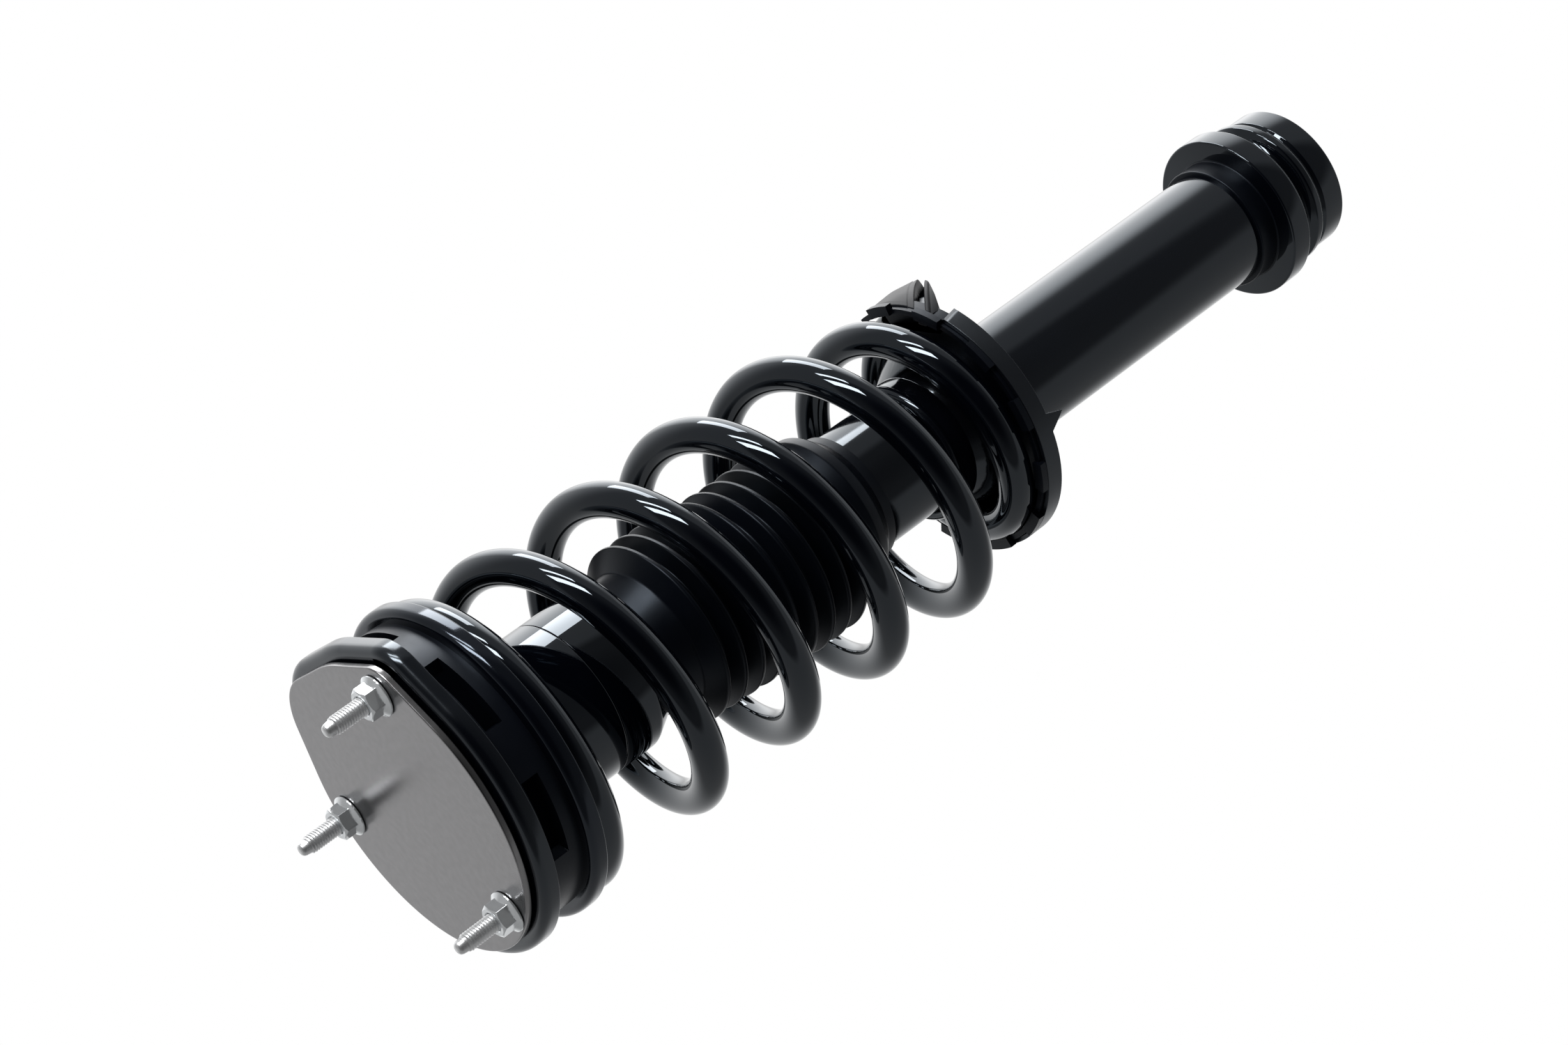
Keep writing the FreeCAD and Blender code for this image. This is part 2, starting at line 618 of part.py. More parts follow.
def make_rod():
    """Rod with piston, shims, rebound stop and nut."""
    guide_bottom = tube_top + SEAL_T + GUIDE_T
    rebound_top = guide_bottom + CLEAR
    rebound_bottom = rebound_top + REBOUND_T
    upper_shim = rebound_bottom + 2
    piston_top = upper_shim + SHIM_T
    piston_bottom = piston_top + PISTON_T
    shim_bottom = piston_bottom + SHIM_T
    nut_bottom = shim_bottom + PISTON_NUT_HEIGHT
    tail_end = nut_bottom + TAIL_SPARE
    save("piston_rod", turned([
        (0, rod_top), (ROD_THREAD_R - 1, rod_top), (ROD_THREAD_R, rod_top + 1),
        (ROD_THREAD_R, rod_shoulder), (ROD_R, rod_shoulder), (ROD_R, upper_shim),
        (ROD_TAIL_R, upper_shim), (ROD_TAIL_R, tail_end), (0, tail_end)]))
    save("rebound_stop", ring(REBOUND_R, ROD_R + RUN, rebound_top, rebound_bottom))
    bore = ROD_TAIL_R + RUN
    piston_r = PRESSURE_R - RUN
    band_top = (piston_top + piston_bottom - PISTON_BAND_T) / 2
    band_bottom = band_top + PISTON_BAND_T
    land_r = piston_r - 0.4
    groove_r = piston_r - PISTON_BAND_DEEP
    save("piston", turned([
        (bore, piston_top), (land_r, piston_top), (land_r, band_top), (groove_r, band_top),
        (groove_r, band_bottom), (land_r, band_bottom), (land_r, piston_bottom),
        (bore, piston_bottom)]))
    save("piston_band", ring(piston_r, groove_r, band_top, band_bottom))
    save("rebound_shims", ring(SHIM_R, bore, upper_shim, piston_top))
    save("compression_shims", ring(SHIM_R, bore, piston_bottom, shim_bottom))
    nut = hexagon(PISTON_NUT_ACROSS_FLATS, shim_bottom, nut_bottom)
    save("piston_nut", nut.cut(ring(bore, 0, shim_bottom - 1, nut_bottom + 1)))
    print("piston end at full travel", round(tail_end + TRAVEL, 1), "tube bottom", round(tube_bottom, 1))


def make_tubes():
    """Outer tube, cap, seal, guide, inner tube, base valve and base cup."""
    tube_bore = TUBE_R - TUBE_WALL
    save("damper_tube", ring(TUBE_R, tube_bore, tube_top, tube_bottom))
    cap_r = TUBE_R + CAP_WALL
    rod_hole = ROD_R + CLEAR
    cap = ring(cap_r, rod_hole, tube_top - CAP_T, tube_top)
    cap = cap.fuse(ring(cap_r, TUBE_R, tube_top, tube_top + CAP_SKIRT))
    save("tube_cap", cap)
    seal_bottom = tube_top + SEAL_T
    guide_bottom = seal_bottom + GUIDE_T
    save("rod_seal", ring(tube_bore, ROD_R + RUN, tube_top, seal_bottom))
    bush_r = ROD_R + RUN + BUSH_WALL
    save("guide_bush", ring(bush_r, ROD_R + RUN, seal_bottom, guide_bottom))
    pressure_outer = PRESSURE_R + PRESSURE_WALL
    guide = ring(tube_bore, bush_r, seal_bottom, guide_bottom)
    guide = guide.cut(ring(pressure_outer, PRESSURE_R, guide_bottom - PRESSURE_SINK, guide_bottom))
    save("rod_guide", guide)
    cup_top_level = tube_bottom - BASE_CUP_T
    valve_top = cup_top_level - BASE_VALVE_T
    valve = ring(BASE_VALVE_R, 0, valve_top, cup_top_level)
    valve = valve.cut(ring(pressure_outer, PRESSURE_R, valve_top, valve_top + PRESSURE_SINK))
    save("base_valve", valve)
    save("pressure_tube", ring(pressure_outer, PRESSURE_R, guide_bottom - PRESSURE_SINK,
                               valve_top + PRESSURE_SINK))
    save("tube_base", ring(tube_bore, 0, cup_top_level, tube_bottom))


def seat_levels():
    """Bearing and depth of the seat's floor down the ramp, in equal steps."""
    end_depth = -coil_state(COIL_TURNS)[0].z
    bearing = COIL_BEARING - 360 * COIL_TURNS
    lead = COIL_PITCH[-1][1]
    end_bearing = bearing % 360 - SEAT_RAMP_SPARE
    end_floor = end_depth + WIRE_D / 2 + CLEAR + PAD_T + lead * SEAT_RAMP_SPARE / 360
    levels = []
    for step in range(SEAT_RAMP_STEPS + 1):
        back = SEAT_RAMP_ANGLE * (1 - step / SEAT_RAMP_STEPS)
        levels.append((end_bearing + back, end_floor - lead * back / 360))
    return levels


def ramp(levels, above, below):
    """Solid that follows the ramp, from above its floor to below it."""
    wires = []
    for bearing, floor in levels:
        corners = [polar(radius, bearing, floor + drop)
                   for radius, drop in ((TUBE_R - 5, -above), (seat_r + 5, -above),
                                        (seat_r + 5, below), (TUBE_R - 5, below))]
        wires.append(Part.makePolygon(corners + corners[:1]))
    return Part.makeLoft(wires, True, True)


def make_lower_seat():
    """Stamped seat with its hub, ramp, rim, end pocket and fin, and the rubber pad on it."""
    levels = seat_levels()
    flat_bearing, floor = levels[0]
    end_bearing, end_floor = levels[-1]
    flat_angle = 360 - SEAT_RAMP_ANGLE
    under = floor + SEAT_WALL
    foot = end_floor + SEAT_WALL
    hub_r = TUBE_R + SEAT_HUB_WALL
    hub_top = floor - SEAT_HUB_RISE
    cone_in = SEAT_CONE_R - SEAT_WALL
    rim_in = seat_r - SEAT_WALL
    rim_top = floor - SEAT_RIM
    cut_start = SEAT_RIM_START + SEAT_RIM_ANGLE
    cut_angle = 360 - SEAT_RIM_ANGLE
    tall_ramp = ramp(levels, SEAT_HUB_RISE, SEAT_WALL)

    seat = turned([
        (TUBE_R, hub_top), (hub_r, hub_top), (hub_r, floor - SEAT_NECK_RISE),
        (SEAT_CONE_R - 0.6, floor - SEAT_CONE_RISE), (SEAT_CONE_R, floor - SEAT_CONE_RISE + 2),
        (SEAT_CONE_R, under), (cone_in, under), (cone_in, floor - SEAT_CONE_RISE + 3),
        (TUBE_R, floor - SEAT_NECK_RISE + 5)])
    seat = seat.fuse(ring(SEAT_CONE_R, cone_in, floor, foot).common(tall_ramp))
    seat = seat.fuse(sector(seat_r, cone_in, floor, under, flat_bearing, flat_angle))
    plate = ramp(levels, 0, SEAT_WALL).common(ring(seat_r, cone_in, floor - 1, foot + 1))
    plate = plate.cut(sector(seat_r + 1, SEAT_CUT_R, floor - 2, foot + 2, cut_start, cut_angle))
    seat = seat.fuse(plate)
    flat_rim = flat_bearing % 360
    seat = seat.fuse(sector(seat_r, rim_in, rim_top, under, flat_rim, cut_start - flat_rim))
    ramp_rim = sector(seat_r, rim_in, rim_top, foot, SEAT_RIM_START, flat_rim - SEAT_RIM_START)
    seat = seat.fuse(ramp_rim.common(tall_ramp))
    corner = FreeCAD.Vector(TUBE_R, -SEAT_WALL, -foot)
    stop = Part.makeBox(seat_r - TUBE_R, SEAT_WALL, foot - floor, corner)
    stop.rotate(ORIGIN, AXIS, end_bearing)
    seat = seat.fuse(stop.common(ring(seat_r, cone_in, floor, foot)))
    for outer, corners in ((seat_r, SKIRT), (FOLD_R, FOLD), (seat_r, FIN)):
        placed = [(bearing, floor + drop) for bearing, drop in corners]
        seat = seat.fuse(bent_plate(outer, outer - SEAT_WALL, placed))
    weld = Part.makeTorus(hub_r - 0.4, WELD_R, FreeCAD.Vector(0, 0, -hub_top))
    seat = seat.fuse(weld)
    seat = seat.cut(ring(TUBE_R, 0, hub_top - 5, foot + 10))
    save("lower_spring_seat", seat)

    pad_in = SEAT_CONE_R + CLEAR
    pad_out = rim_in - CLEAR
    pad_top = floor - PAD_T
    tab_top = floor - PAD_TAB_RISE
    pad = sector(pad_out, pad_in, pad_top, floor, flat_bearing, flat_angle)
    slope = ramp(levels, PAD_T, 0).common(ring(pad_out, pad_in, pad_top - 1, foot))
    slope = slope.cut(sector(seat_r, SEAT_CUT_R - CLEAR, pad_top - 2, foot, cut_start, cut_angle))
    pad = pad.fuse(slope)
    lip = sector(pad_out, pad_lip_r, floor - PAD_LIP_RISE, pad_top + 0.5, SEAT_RIM_START, SEAT_RIM_ANGLE)
    pad = pad.fuse(lip)
    ramp_lip = sector(pad_out, pad_lip_r, pad_top, foot, SEAT_RIM_START, flat_rim - SEAT_RIM_START)
    pad = pad.fuse(ramp_lip.common(ramp(levels, SEAT_HUB_RISE, 0)))
    for number in range(PAD_TABS):
        start = PAD_TAB_START + number * PAD_TAB_STEP - PAD_TAB_ANGLE / 2
        pad = pad.fuse(sector(seat_r, pad_lip_r, tab_top, rim_top - CLEAR, start, PAD_TAB_ANGLE))
    collar = sector(pad_in + PAD_COLLAR_WALL, pad_in, floor - PAD_COLLAR_RISE, pad_top + 0.5,
                    PAD_COLLAR_START, PAD_COLLAR_ANGLE)
    pad = pad.fuse(collar)
    save("lower_isolator", pad)
    print("seat floor", round(floor, 2), "ramp foot", round(end_floor, 2), "from bearing",
          round(flat_rim, 1), "to", round(end_bearing, 1))


def make_collar():
    """Locating collar and the grooved sleeve that the lower clamp grips."""
    collar_top = tube_bottom - END_LENGTH - COLLAR_T
    collar_bottom = collar_top + COLLAR_T
    hub_r = TUBE_R + COLLAR_HUB_WALL
    collar_r = TUBE_R + COLLAR_WALL
    save("locating_collar", turned([
        (TUBE_R, collar_top - COLLAR_HUB_RISE), (hub_r, collar_top - COLLAR_HUB_RISE),
        (hub_r, collar_top), (collar_r - COLLAR_ROUND, collar_top),
        (collar_r, collar_top + COLLAR_ROUND), (collar_r, collar_bottom - COLLAR_ROUND),
        (collar_r - COLLAR_ROUND, collar_bottom), (TUBE_R, collar_bottom)]))
    bead_top = collar_bottom + END_BEAD_DROP
    bead_bottom = bead_top + END_BEAD_T
    neck = collar_bottom + END_NECK_DROP
    land_r = TUBE_R + END_LAND_WALL
    neck_r = TUBE_R + END_NECK_WALL
    bead_r = TUBE_R + END_BEAD_WALL
    groove_r = TUBE_R + END_GROOVE_WALL
    end_r = TUBE_R + END_WALL
    save("end_sleeve", turned([
        (TUBE_R, collar_bottom), (land_r, collar_bottom), (land_r, collar_bottom + END_LAND_T),
        (neck_r, neck), (neck_r + 0.5, neck + 2.4), (bead_r - 1.2, bead_top - 1.2),
        (bead_r, bead_top), (bead_r, bead_bottom - 1.0), (bead_r - 0.7, bead_bottom),
        (groove_r, bead_bottom + 0.5), (groove_r, bead_bottom + END_GROOVE_T),
        (end_r, bead_bottom + END_GROOVE_T + 1.2), (end_r, tube_bottom - 0.8),
        (end_r - 0.8, tube_bottom), (TUBE_R, tube_bottom)]))


make_mount()
make_mount_body()
make_upper_isolator()
make_coil()
make_bump_stop()
make_boot()
make_rod()
make_tubes()
make_lower_seat()
make_collar()
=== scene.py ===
# %% [markdown]
# A suspension strut is a damper with a coil spring round it, held between a top mount and a pressed seat.
# Its pieces are turned, pressed, moulded or wound, so nearly every surface here is a grid of points worked
# out from a formula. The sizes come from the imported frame, which is measured, never moved.

import bmesh
import bpy
import numpy as np
from mathutils import Matrix, Vector


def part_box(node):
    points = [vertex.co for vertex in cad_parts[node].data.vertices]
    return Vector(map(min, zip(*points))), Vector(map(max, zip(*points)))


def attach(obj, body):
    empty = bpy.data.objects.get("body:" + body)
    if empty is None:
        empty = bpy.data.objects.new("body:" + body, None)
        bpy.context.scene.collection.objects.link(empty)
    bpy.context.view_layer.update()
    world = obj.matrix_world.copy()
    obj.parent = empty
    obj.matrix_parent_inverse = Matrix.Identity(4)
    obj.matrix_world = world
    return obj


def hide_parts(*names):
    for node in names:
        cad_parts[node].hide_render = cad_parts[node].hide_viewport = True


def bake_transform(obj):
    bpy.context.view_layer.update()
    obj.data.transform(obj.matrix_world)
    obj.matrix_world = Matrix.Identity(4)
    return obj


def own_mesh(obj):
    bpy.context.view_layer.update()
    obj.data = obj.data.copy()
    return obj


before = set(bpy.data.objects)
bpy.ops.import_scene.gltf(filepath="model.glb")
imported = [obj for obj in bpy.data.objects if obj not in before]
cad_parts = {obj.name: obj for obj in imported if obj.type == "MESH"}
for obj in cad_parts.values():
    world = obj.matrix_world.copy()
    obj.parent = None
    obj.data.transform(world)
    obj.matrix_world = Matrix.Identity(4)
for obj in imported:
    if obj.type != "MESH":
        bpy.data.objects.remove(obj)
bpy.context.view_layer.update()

# %% [markdown]
# Blender counts in metres and a strut is drawn in millimetres. Points are therefore worked out in
# millimetres and turned into metres once, when they become a mesh. A depth is counted down from the top
# plate's outer face, because that is how far along the strut a piece sits.

# %% Millimetres and the frame's own sizes
MM = 0.001


def levels(node):
    """Depths of a node's top and bottom below the top plate's face."""
    low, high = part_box(node)
    return -high[2] / MM, -low[2] / MM


def reach(node):
    """Radius of a round node: half its width along X."""
    low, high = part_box(node)
    return (high[0] - low[0]) / 2 / MM


tube_top, tube_bottom = levels("damper_tube")
tube_r = reach("damper_tube")
print("tube radius", round(tube_r, 2), "from depth", round(tube_top, 1), "to", round(tube_bottom, 1))

# %% [markdown]
# One function turns any grid of points into a mesh. Its columns always close round the piece. Its rows
# either close as well, which gives a ring, or end in two caps. Whether the faces point outwards is not
# left to luck: the volume that they enclose is added up, and the faces are turned over if it is negative.
# Blender could also spin or screw a profile with modifiers, but a formula keeps every size exact and makes
# a wavy, threaded or sagging surface as easy as a plain one.

# %% A grid of points becomes a mesh
SHARP_ANGLE = np.radians(38)


def patch(grid, ring, first):
    """Points and faces of one closed grid, whose point numbers start at first.

    A face joins point (row, column) to its neighbours (row, column + 1), (row + 1, column + 1) and
    (row + 1, column). A cap joins an end row to the middle of its points.
    """
    rows, columns = grid.shape[:2]
    points = grid.reshape(-1, 3)
    row = np.arange(rows if ring else rows - 1)[:, None]
    column = np.arange(columns)[None, :]
    after_row = (row + 1) % rows
    after_column = (column + 1) % columns
    corners = [row * columns + column, row * columns + after_column,
               after_row * columns + after_column, after_row * columns + column]
    corners = [np.broadcast_to(corner, (row.size, columns)) for corner in corners]
    quads = np.stack(corners, -1).reshape(-1, 4)
    fans = []
    if not ring:
        ends = np.stack([grid[0].mean(0), grid[-1].mean(0)])
        points = np.concatenate([points, ends])
        around = np.arange(columns)
        beyond = (around + 1) % columns
        top = np.full(columns, rows * columns)
        last = (rows - 1) * columns
        fans = [np.stack([top, beyond, around], -1), np.stack([top + 1, last + around, last + beyond], -1)]
    triangles = np.concatenate([quads[:, [0, 1, 2]], quads[:, [0, 2, 3]]] + fans)
    a, b, c = (points[triangles[:, corner]] for corner in range(3))
    volume = np.einsum("ij,ij->i", a, np.cross(b, c)).sum() / 6
    turn = -1 if volume < 0 else 1
    faces = [(part[:, ::turn] + first).tolist() for part in [quads] + fans]
    return points, sum(faces, [])


def skin(name, grids, ring=False, sharp=SHARP_ANGLE):
    """Piece made of one grid of rows, columns and x, y, z in millimetres, or of a list of such grids."""
    grids = grids if isinstance(grids, list) else [grids]
    points = np.zeros((0, 3))
    faces = []
    for grid in grids:
        more_points, more_faces = patch(grid, ring, len(points))
        points = np.concatenate([points, more_points])
        faces += more_faces
    mesh = bpy.data.meshes.new(name)
    mesh.from_pydata((points * MM).tolist(), [], faces)
    mesh.validate()
    mesh.shade_smooth()
    mesh.set_sharp_from_angle(angle=sharp)
    piece = bpy.data.objects.new(name, mesh)
    bpy.context.scene.collection.objects.link(piece)
    return piece


# %% [markdown]
# Turned and pressed pieces have no knife edges: every corner is broken by a small radius, and that
# radius is what catches the light. So an outline is written as a few corners, each with its own radius,
# and the arcs between them are worked out.

# %% Outlines with rounded corners
ARC_POINTS = 7
LATHE_STEPS = 192


def rounded(corners, closed=True):
    """Outline through (radius, depth, corner radius) points, with an arc in place of each corner.

    The arc starts and ends where a circle of that radius touches the two sides. Points on it are a blend
    of its two ends and the corner, the curve of the second degree that leaves along each side.
    """
    spots = np.array([corner[:2] for corner in corners], float)
    radii = np.array([corner[2] if len(corner) > 2 else 0.0 for corner in corners])
    before = np.roll(spots, 1, 0) - spots
    after = np.roll(spots, -1, 0) - spots
    long_before = np.linalg.norm(before, axis=1)
    long_after = np.linalg.norm(after, axis=1)
    before /= np.maximum(long_before, 1e-9)[:, None]
    after /= np.maximum(long_after, 1e-9)[:, None]
    bend = np.arccos(np.clip((before * after).sum(1), -1, 1))
    back = radii / np.tan(np.maximum(bend, 1e-3) / 2)
    back = np.minimum(back, 0.49 * np.minimum(long_before, long_after))
    if not closed:
        back[0] = back[-1] = 0
    share = np.linspace(0, 1, ARC_POINTS)[None, :, None]
    start = (spots + before * back[:, None])[:, None]
    end = (spots + after * back[:, None])[:, None]
    middle = spots[:, None]
    arcs = start * (1 - share) ** 2 + middle * 2 * share * (1 - share) + end * share ** 2
    outline = [arc if pull > 1e-6 else arc[:1] for arc, pull in zip(arcs, back)]
    return np.concatenate(outline)


def lathe(outline, steps=LATHE_STEPS, aside=(0.0, 0.0)):
    """Grid of an outline turned on an axis: point (r, d) goes round as (r cos a + x, r sin a + y, -d)."""
    angle = np.linspace(0, 2 * np.pi, steps, endpoint=False)[None, :]
    radius = outline[:, :1]
    depth = outline[:, 1:2] + 0 * angle
    return np.stack([radius * np.cos(angle) + aside[0], radius * np.sin(angle) + aside[1], -depth], -1)


def turned(name, corners, steps=LATHE_STEPS, aside=(0.0, 0.0)):
    """Ring turned on the axis through x and y given by aside, from an outline with rounded corners."""
    return skin(name, lathe(rounded(corners), steps, aside), ring=True)


def polar(radius, bearing):
    """The x and y of a point at a radius and a bearing in degrees."""
    angle = np.radians(bearing)
    return np.stack([radius * np.cos(angle), radius * np.sin(angle)], -1)


# %% [markdown]
# Powder coat, rubber, zinc and moulded plastic differ less in colour than in how they take the light, so
# most of a material's work is in its roughness and in a very fine bump. A few helpers keep each one short.

# %% Material helpers
def new_material(name):
    """Empty node material with its principled shader, and the shader itself."""
    material = bpy.data.materials.new(name)
    material.use_nodes = True
    return material, material.node_tree.nodes["Principled BSDF"]


def add(material, kind, **settings):
    """Adds a shader node of a kind and sets its plain settings."""
    node = material.node_tree.nodes.new(kind)
    for key, value in settings.items():
        setattr(node, key, value)
    return node


def join(material, start, end):
    """Links an output socket to an input socket."""
    material.node_tree.links.new(start, end)


def noise(material, scale, detail=4.0):
    """Noise on Object coordinates, scale in cycles per metre."""
    place = add(material, "ShaderNodeTexCoord")
    node = add(material, "ShaderNodeTexNoise")
    node.inputs["Scale"].default_value = scale
    node.inputs["Detail"].default_value = detail
    join(material, place.outputs["Object"], node.inputs["Vector"])
    return node.outputs["Fac"]


def spread(material, source, low, high, start=0.0, end=1.0):
    """Maps a value from its range, start to end, to the range low to high."""
    node = add(material, "ShaderNodeMapRange")
    for socket, value in (("From Min", start), ("From Max", end), ("To Min", low), ("To Max", high)):
        node.inputs[socket].default_value = value
    join(material, source, node.inputs["Value"])
    return node.outputs["Result"]


def tint(material, source, dark, light):
    """Colour that runs from dark to light as the source goes from 0.35 to 0.65."""
    node = add(material, "ShaderNodeValToRGB")
    node.color_ramp.elements[0].position = 0.35
    node.color_ramp.elements[0].color = (*dark, 1)
    node.color_ramp.elements[1].position = 0.65
    node.color_ramp.elements[1].color = (*light, 1)
    join(material, source, node.inputs["Fac"])
    return node.outputs["Color"]


def bump(material, shader, source, height):
    """Bump whose full height is in metres."""
    node = add(material, "ShaderNodeBump")
    node.inputs["Distance"].default_value = height
    join(material, source, node.inputs["Height"])
    join(material, node.outputs["Normal"], shader.inputs["Normal"])


# %% [markdown]
# Steel pressings and the spring are powder coated, which flows out to a gloss and keeps a faint orange
# peel. Rubber and plastic are moulded against a spark-eroded tool and come out matt. Studs and nuts are
# zinc plated. A picture of each would do as well, but a node recipe has no seams and stays sharp from any
# distance. So each kind is one recipe, and each finish is that recipe with its own colour, roughness and
# peel. The light on the photograph's black pieces is faintly blue, so their shine is tinted.

# %% Recipes for the finishes
RIM_FADE = 0.002  # metres over which a rim turns dull
PAINT_SHINE = (0.80, 0.90, 1.0, 1.0)
RUBBER_SHINE = (0.72, 0.84, 1.0, 1.0)


def duller_beyond(material, source, radius, extra):
    """Roughness that gains an extra amount beyond a radius in metres from the strut's axis."""
    place = add(material, "ShaderNodeTexCoord")
    flat = add(material, "ShaderNodeVectorMath", operation="MULTIPLY")
    flat.inputs[1].default_value = (1, 1, 0)
    away = add(material, "ShaderNodeVectorMath", operation="LENGTH")
    total = add(material, "ShaderNodeMath", operation="ADD")
    join(material, place.outputs["Object"], flat.inputs[0])
    join(material, flat.outputs["Vector"], away.inputs[0])
    join(material, source, total.inputs[0])
    gain = spread(material, away.outputs["Value"], 0.0, extra, radius, radius + RIM_FADE)
    join(material, gain, total.inputs[1])
    return total.outputs["Value"]


def powder_coat(name, colour, gloss, peel, level=1.0, rim=None):
    """Hard gloss paint with a faint orange peel: colour, roughness, peel height in metres, level of shine.

    A rim is a radius in metres and the roughness that the paint gains beyond it.
    """
    material, shader = new_material(name)
    dark = tuple(0.8 * part for part in colour)
    join(material, tint(material, noise(material, 35), dark, colour), shader.inputs["Base Color"])
    roughness = spread(material, noise(material, 90), gloss * 0.8, gloss * 1.2)
    if rim:
        roughness = duller_beyond(material, roughness, *rim)
    join(material, roughness, shader.inputs["Roughness"])
    shader.inputs["Specular IOR Level"].default_value = level
    shader.inputs["Specular Tint"].default_value = PAINT_SHINE
    bump(material, shader, noise(material, 260, detail=1), peel)
    return material


def moulded_rubber(name, colour, roughness, grain, height, level=0.30):
    """Matt rubber, plastic or foam: grain in cycles per metre, height in metres, level of shine."""
    material, shader = new_material(name)
    dark = tuple(0.75 * part for part in colour)
    join(material, tint(material, noise(material, 60), dark, colour), shader.inputs["Base Color"])
    join(material, spread(material, noise(material, 150), roughness * 0.85, roughness * 1.15),
         shader.inputs["Roughness"])
    shader.inputs["Specular IOR Level"].default_value = level
    shader.inputs["Specular Tint"].default_value = RUBBER_SHINE
    bump(material, shader, noise(material, grain, detail=3), height)
    return material


def plated(name, colour, roughness, metallic=1.0):
    """Zinc or bare steel: metal with fine blotches, less metallic where the plating is milky."""
    material, shader = new_material(name)
    shader.inputs["Metallic"].default_value = metallic
    dark = tuple(0.93 * part for part in colour)
    join(material, tint(material, noise(material, 300), dark, colour), shader.inputs["Base Color"])
    join(material, spread(material, noise(material, 200), roughness * 0.8, roughness * 1.2),
         shader.inputs["Roughness"])
    bump(material, shader, noise(material, 1500, detail=2), 0.000003)
    return material


# %% The finishes
gloss_black = powder_coat("gloss_black", (0.0010, 0.0014, 0.0030), 0.035, 0.000003)
tube_black = powder_coat("tube_black", (0.0012, 0.0016, 0.0034), 0.09, 0.000003)
housing_black = powder_coat("housing_black", (0.0010, 0.0014, 0.0030), 0.16, 0.000006)
seat_satin = powder_coat("seat_satin", (0.0018, 0.0022, 0.0040), 0.10, 0.000005, rim=(0.051, 0.20))
plate_grey = plated("plate_grey", (0.360, 0.357, 0.364), 0.23)
boot_rubber = moulded_rubber("boot_rubber", (0.0014, 0.0020, 0.0042), 0.36, 900, 0.000008)
ring_rubber = moulded_rubber("ring_rubber", (0.0014, 0.0018, 0.0036), 0.10, 700, 0.000004, level=0.70)
lobe_satin = powder_coat("lobe_satin", (0.0018, 0.0022, 0.0040), 0.34, 0.000005, level=0.10)
# Black with no shine at all: painted shade for the pocket floors and the lobe's groove, where little light
# reaches.
painted_shade = moulded_rubber("painted_shade", (0.0010, 0.0012, 0.0020), 0.5, 900, 0.000008, level=0.0)
moulded_black = moulded_rubber("moulded_black", (0.0022, 0.0028, 0.0052), 0.34, 1200, 0.00001)
zinc = plated("zinc", (0.94, 0.95, 0.96), 0.38, 0.90)
nut_zinc = plated("nut_zinc", (0.95, 0.98, 1.0), 0.12, 0.80)
bright_steel = plated("bright_steel", (0.6, 0.61, 0.63), 0.25)
chrome = plated("chrome", (0.75, 0.76, 0.78), 0.08)
foam = moulded_rubber("foam", (0.5, 0.42, 0.25), 0.8, 1500, 0.0001)


# %% How a piece is dressed
def dress(piece, material, body, slot, *nodes):
    """Gives a piece its material and body, and lets it stand for CAD nodes; the slot is not used."""
    piece.data.materials.clear()
    piece.data.materials.append(material)
    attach(piece, body)
    if nodes:
        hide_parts(*nodes)


def paint_faces(piece, material, chosen):
    """Gives a second material to the chosen faces of a grid; chosen holds true or false for each face.

    The faces of a piece's caps come after those of its grid and keep the first material.
    """
    piece.data.materials.append(material)
    index = np.zeros(len(piece.data.polygons), np.int32)
    index[:chosen.size] = chosen.ravel()
    piece.data.polygons.foreach_set("material_index", index)


# %% [markdown]
# The wire of the spring is one tube on a helix that changes as it goes. Its end turns lie almost flat,
# the free turns climb at about 52 mm each, and the lower end narrows to sit in the small seat. The lead is
# given at a few turns and added up, which keeps the wire smooth where the lead changes. As the strut
# shortens only the free turns close up. So a share of the tube's travel is worked out for each section of
# the wire, growing evenly over the free turns, so that the wire would stay round and its end turns keep
# their seats. Nothing here moves the wire by these shares.

# %% The coil spring
WIRE_R = 7.62
COIL_R = 62.42
COIL_END_R = 47.6
COIL_TURNS = 6.25
COIL_BEARING = 280.0
COIL_SEAT_GAP = 0.3
LIP_SKIRT = 4.4
COIL_LEAD = ((0.0, 0.0), (0.42, 0.0), (0.80, 46.0), (1.12, 76.0), (1.32, 54.0), (1.80, 53.0),
             (4.40, 50.6), (4.62, 60.0), (4.95, 58.0), (5.15, 30.0), (5.50, 27.0), (5.80, 32.0),
             (6.25, 31.5))
COIL_CENTRING = (0.65, 1.40)
COIL_NECK = (4.73, 5.70)
COIL_LEAN = polar(5.6, 289.0)
COIL_LEAN_OUT = (4.48, 4.85)
COIL_LEAN_BACK = (5.00, 5.60)
SPRING_CENTRE = polar(1.6, 190.0)
ACTIVE_FROM, ACTIVE_TO = 0.42, 5.0
COIL_STEPS = 1100
WIRE_SIDES = 44
WIRE_END = 0.5  # length over which each cut end of the wire narrows
WIRE_EDGE = 0.7  # by how much its radius does


def smooth(value, start, end):
    """0 before start and 1 after end, level at both: 3 s^2 - 2 s^3 of the share s between them."""
    share = np.clip((value - start) / (end - start), 0, 1)
    return share * share * (3 - 2 * share)


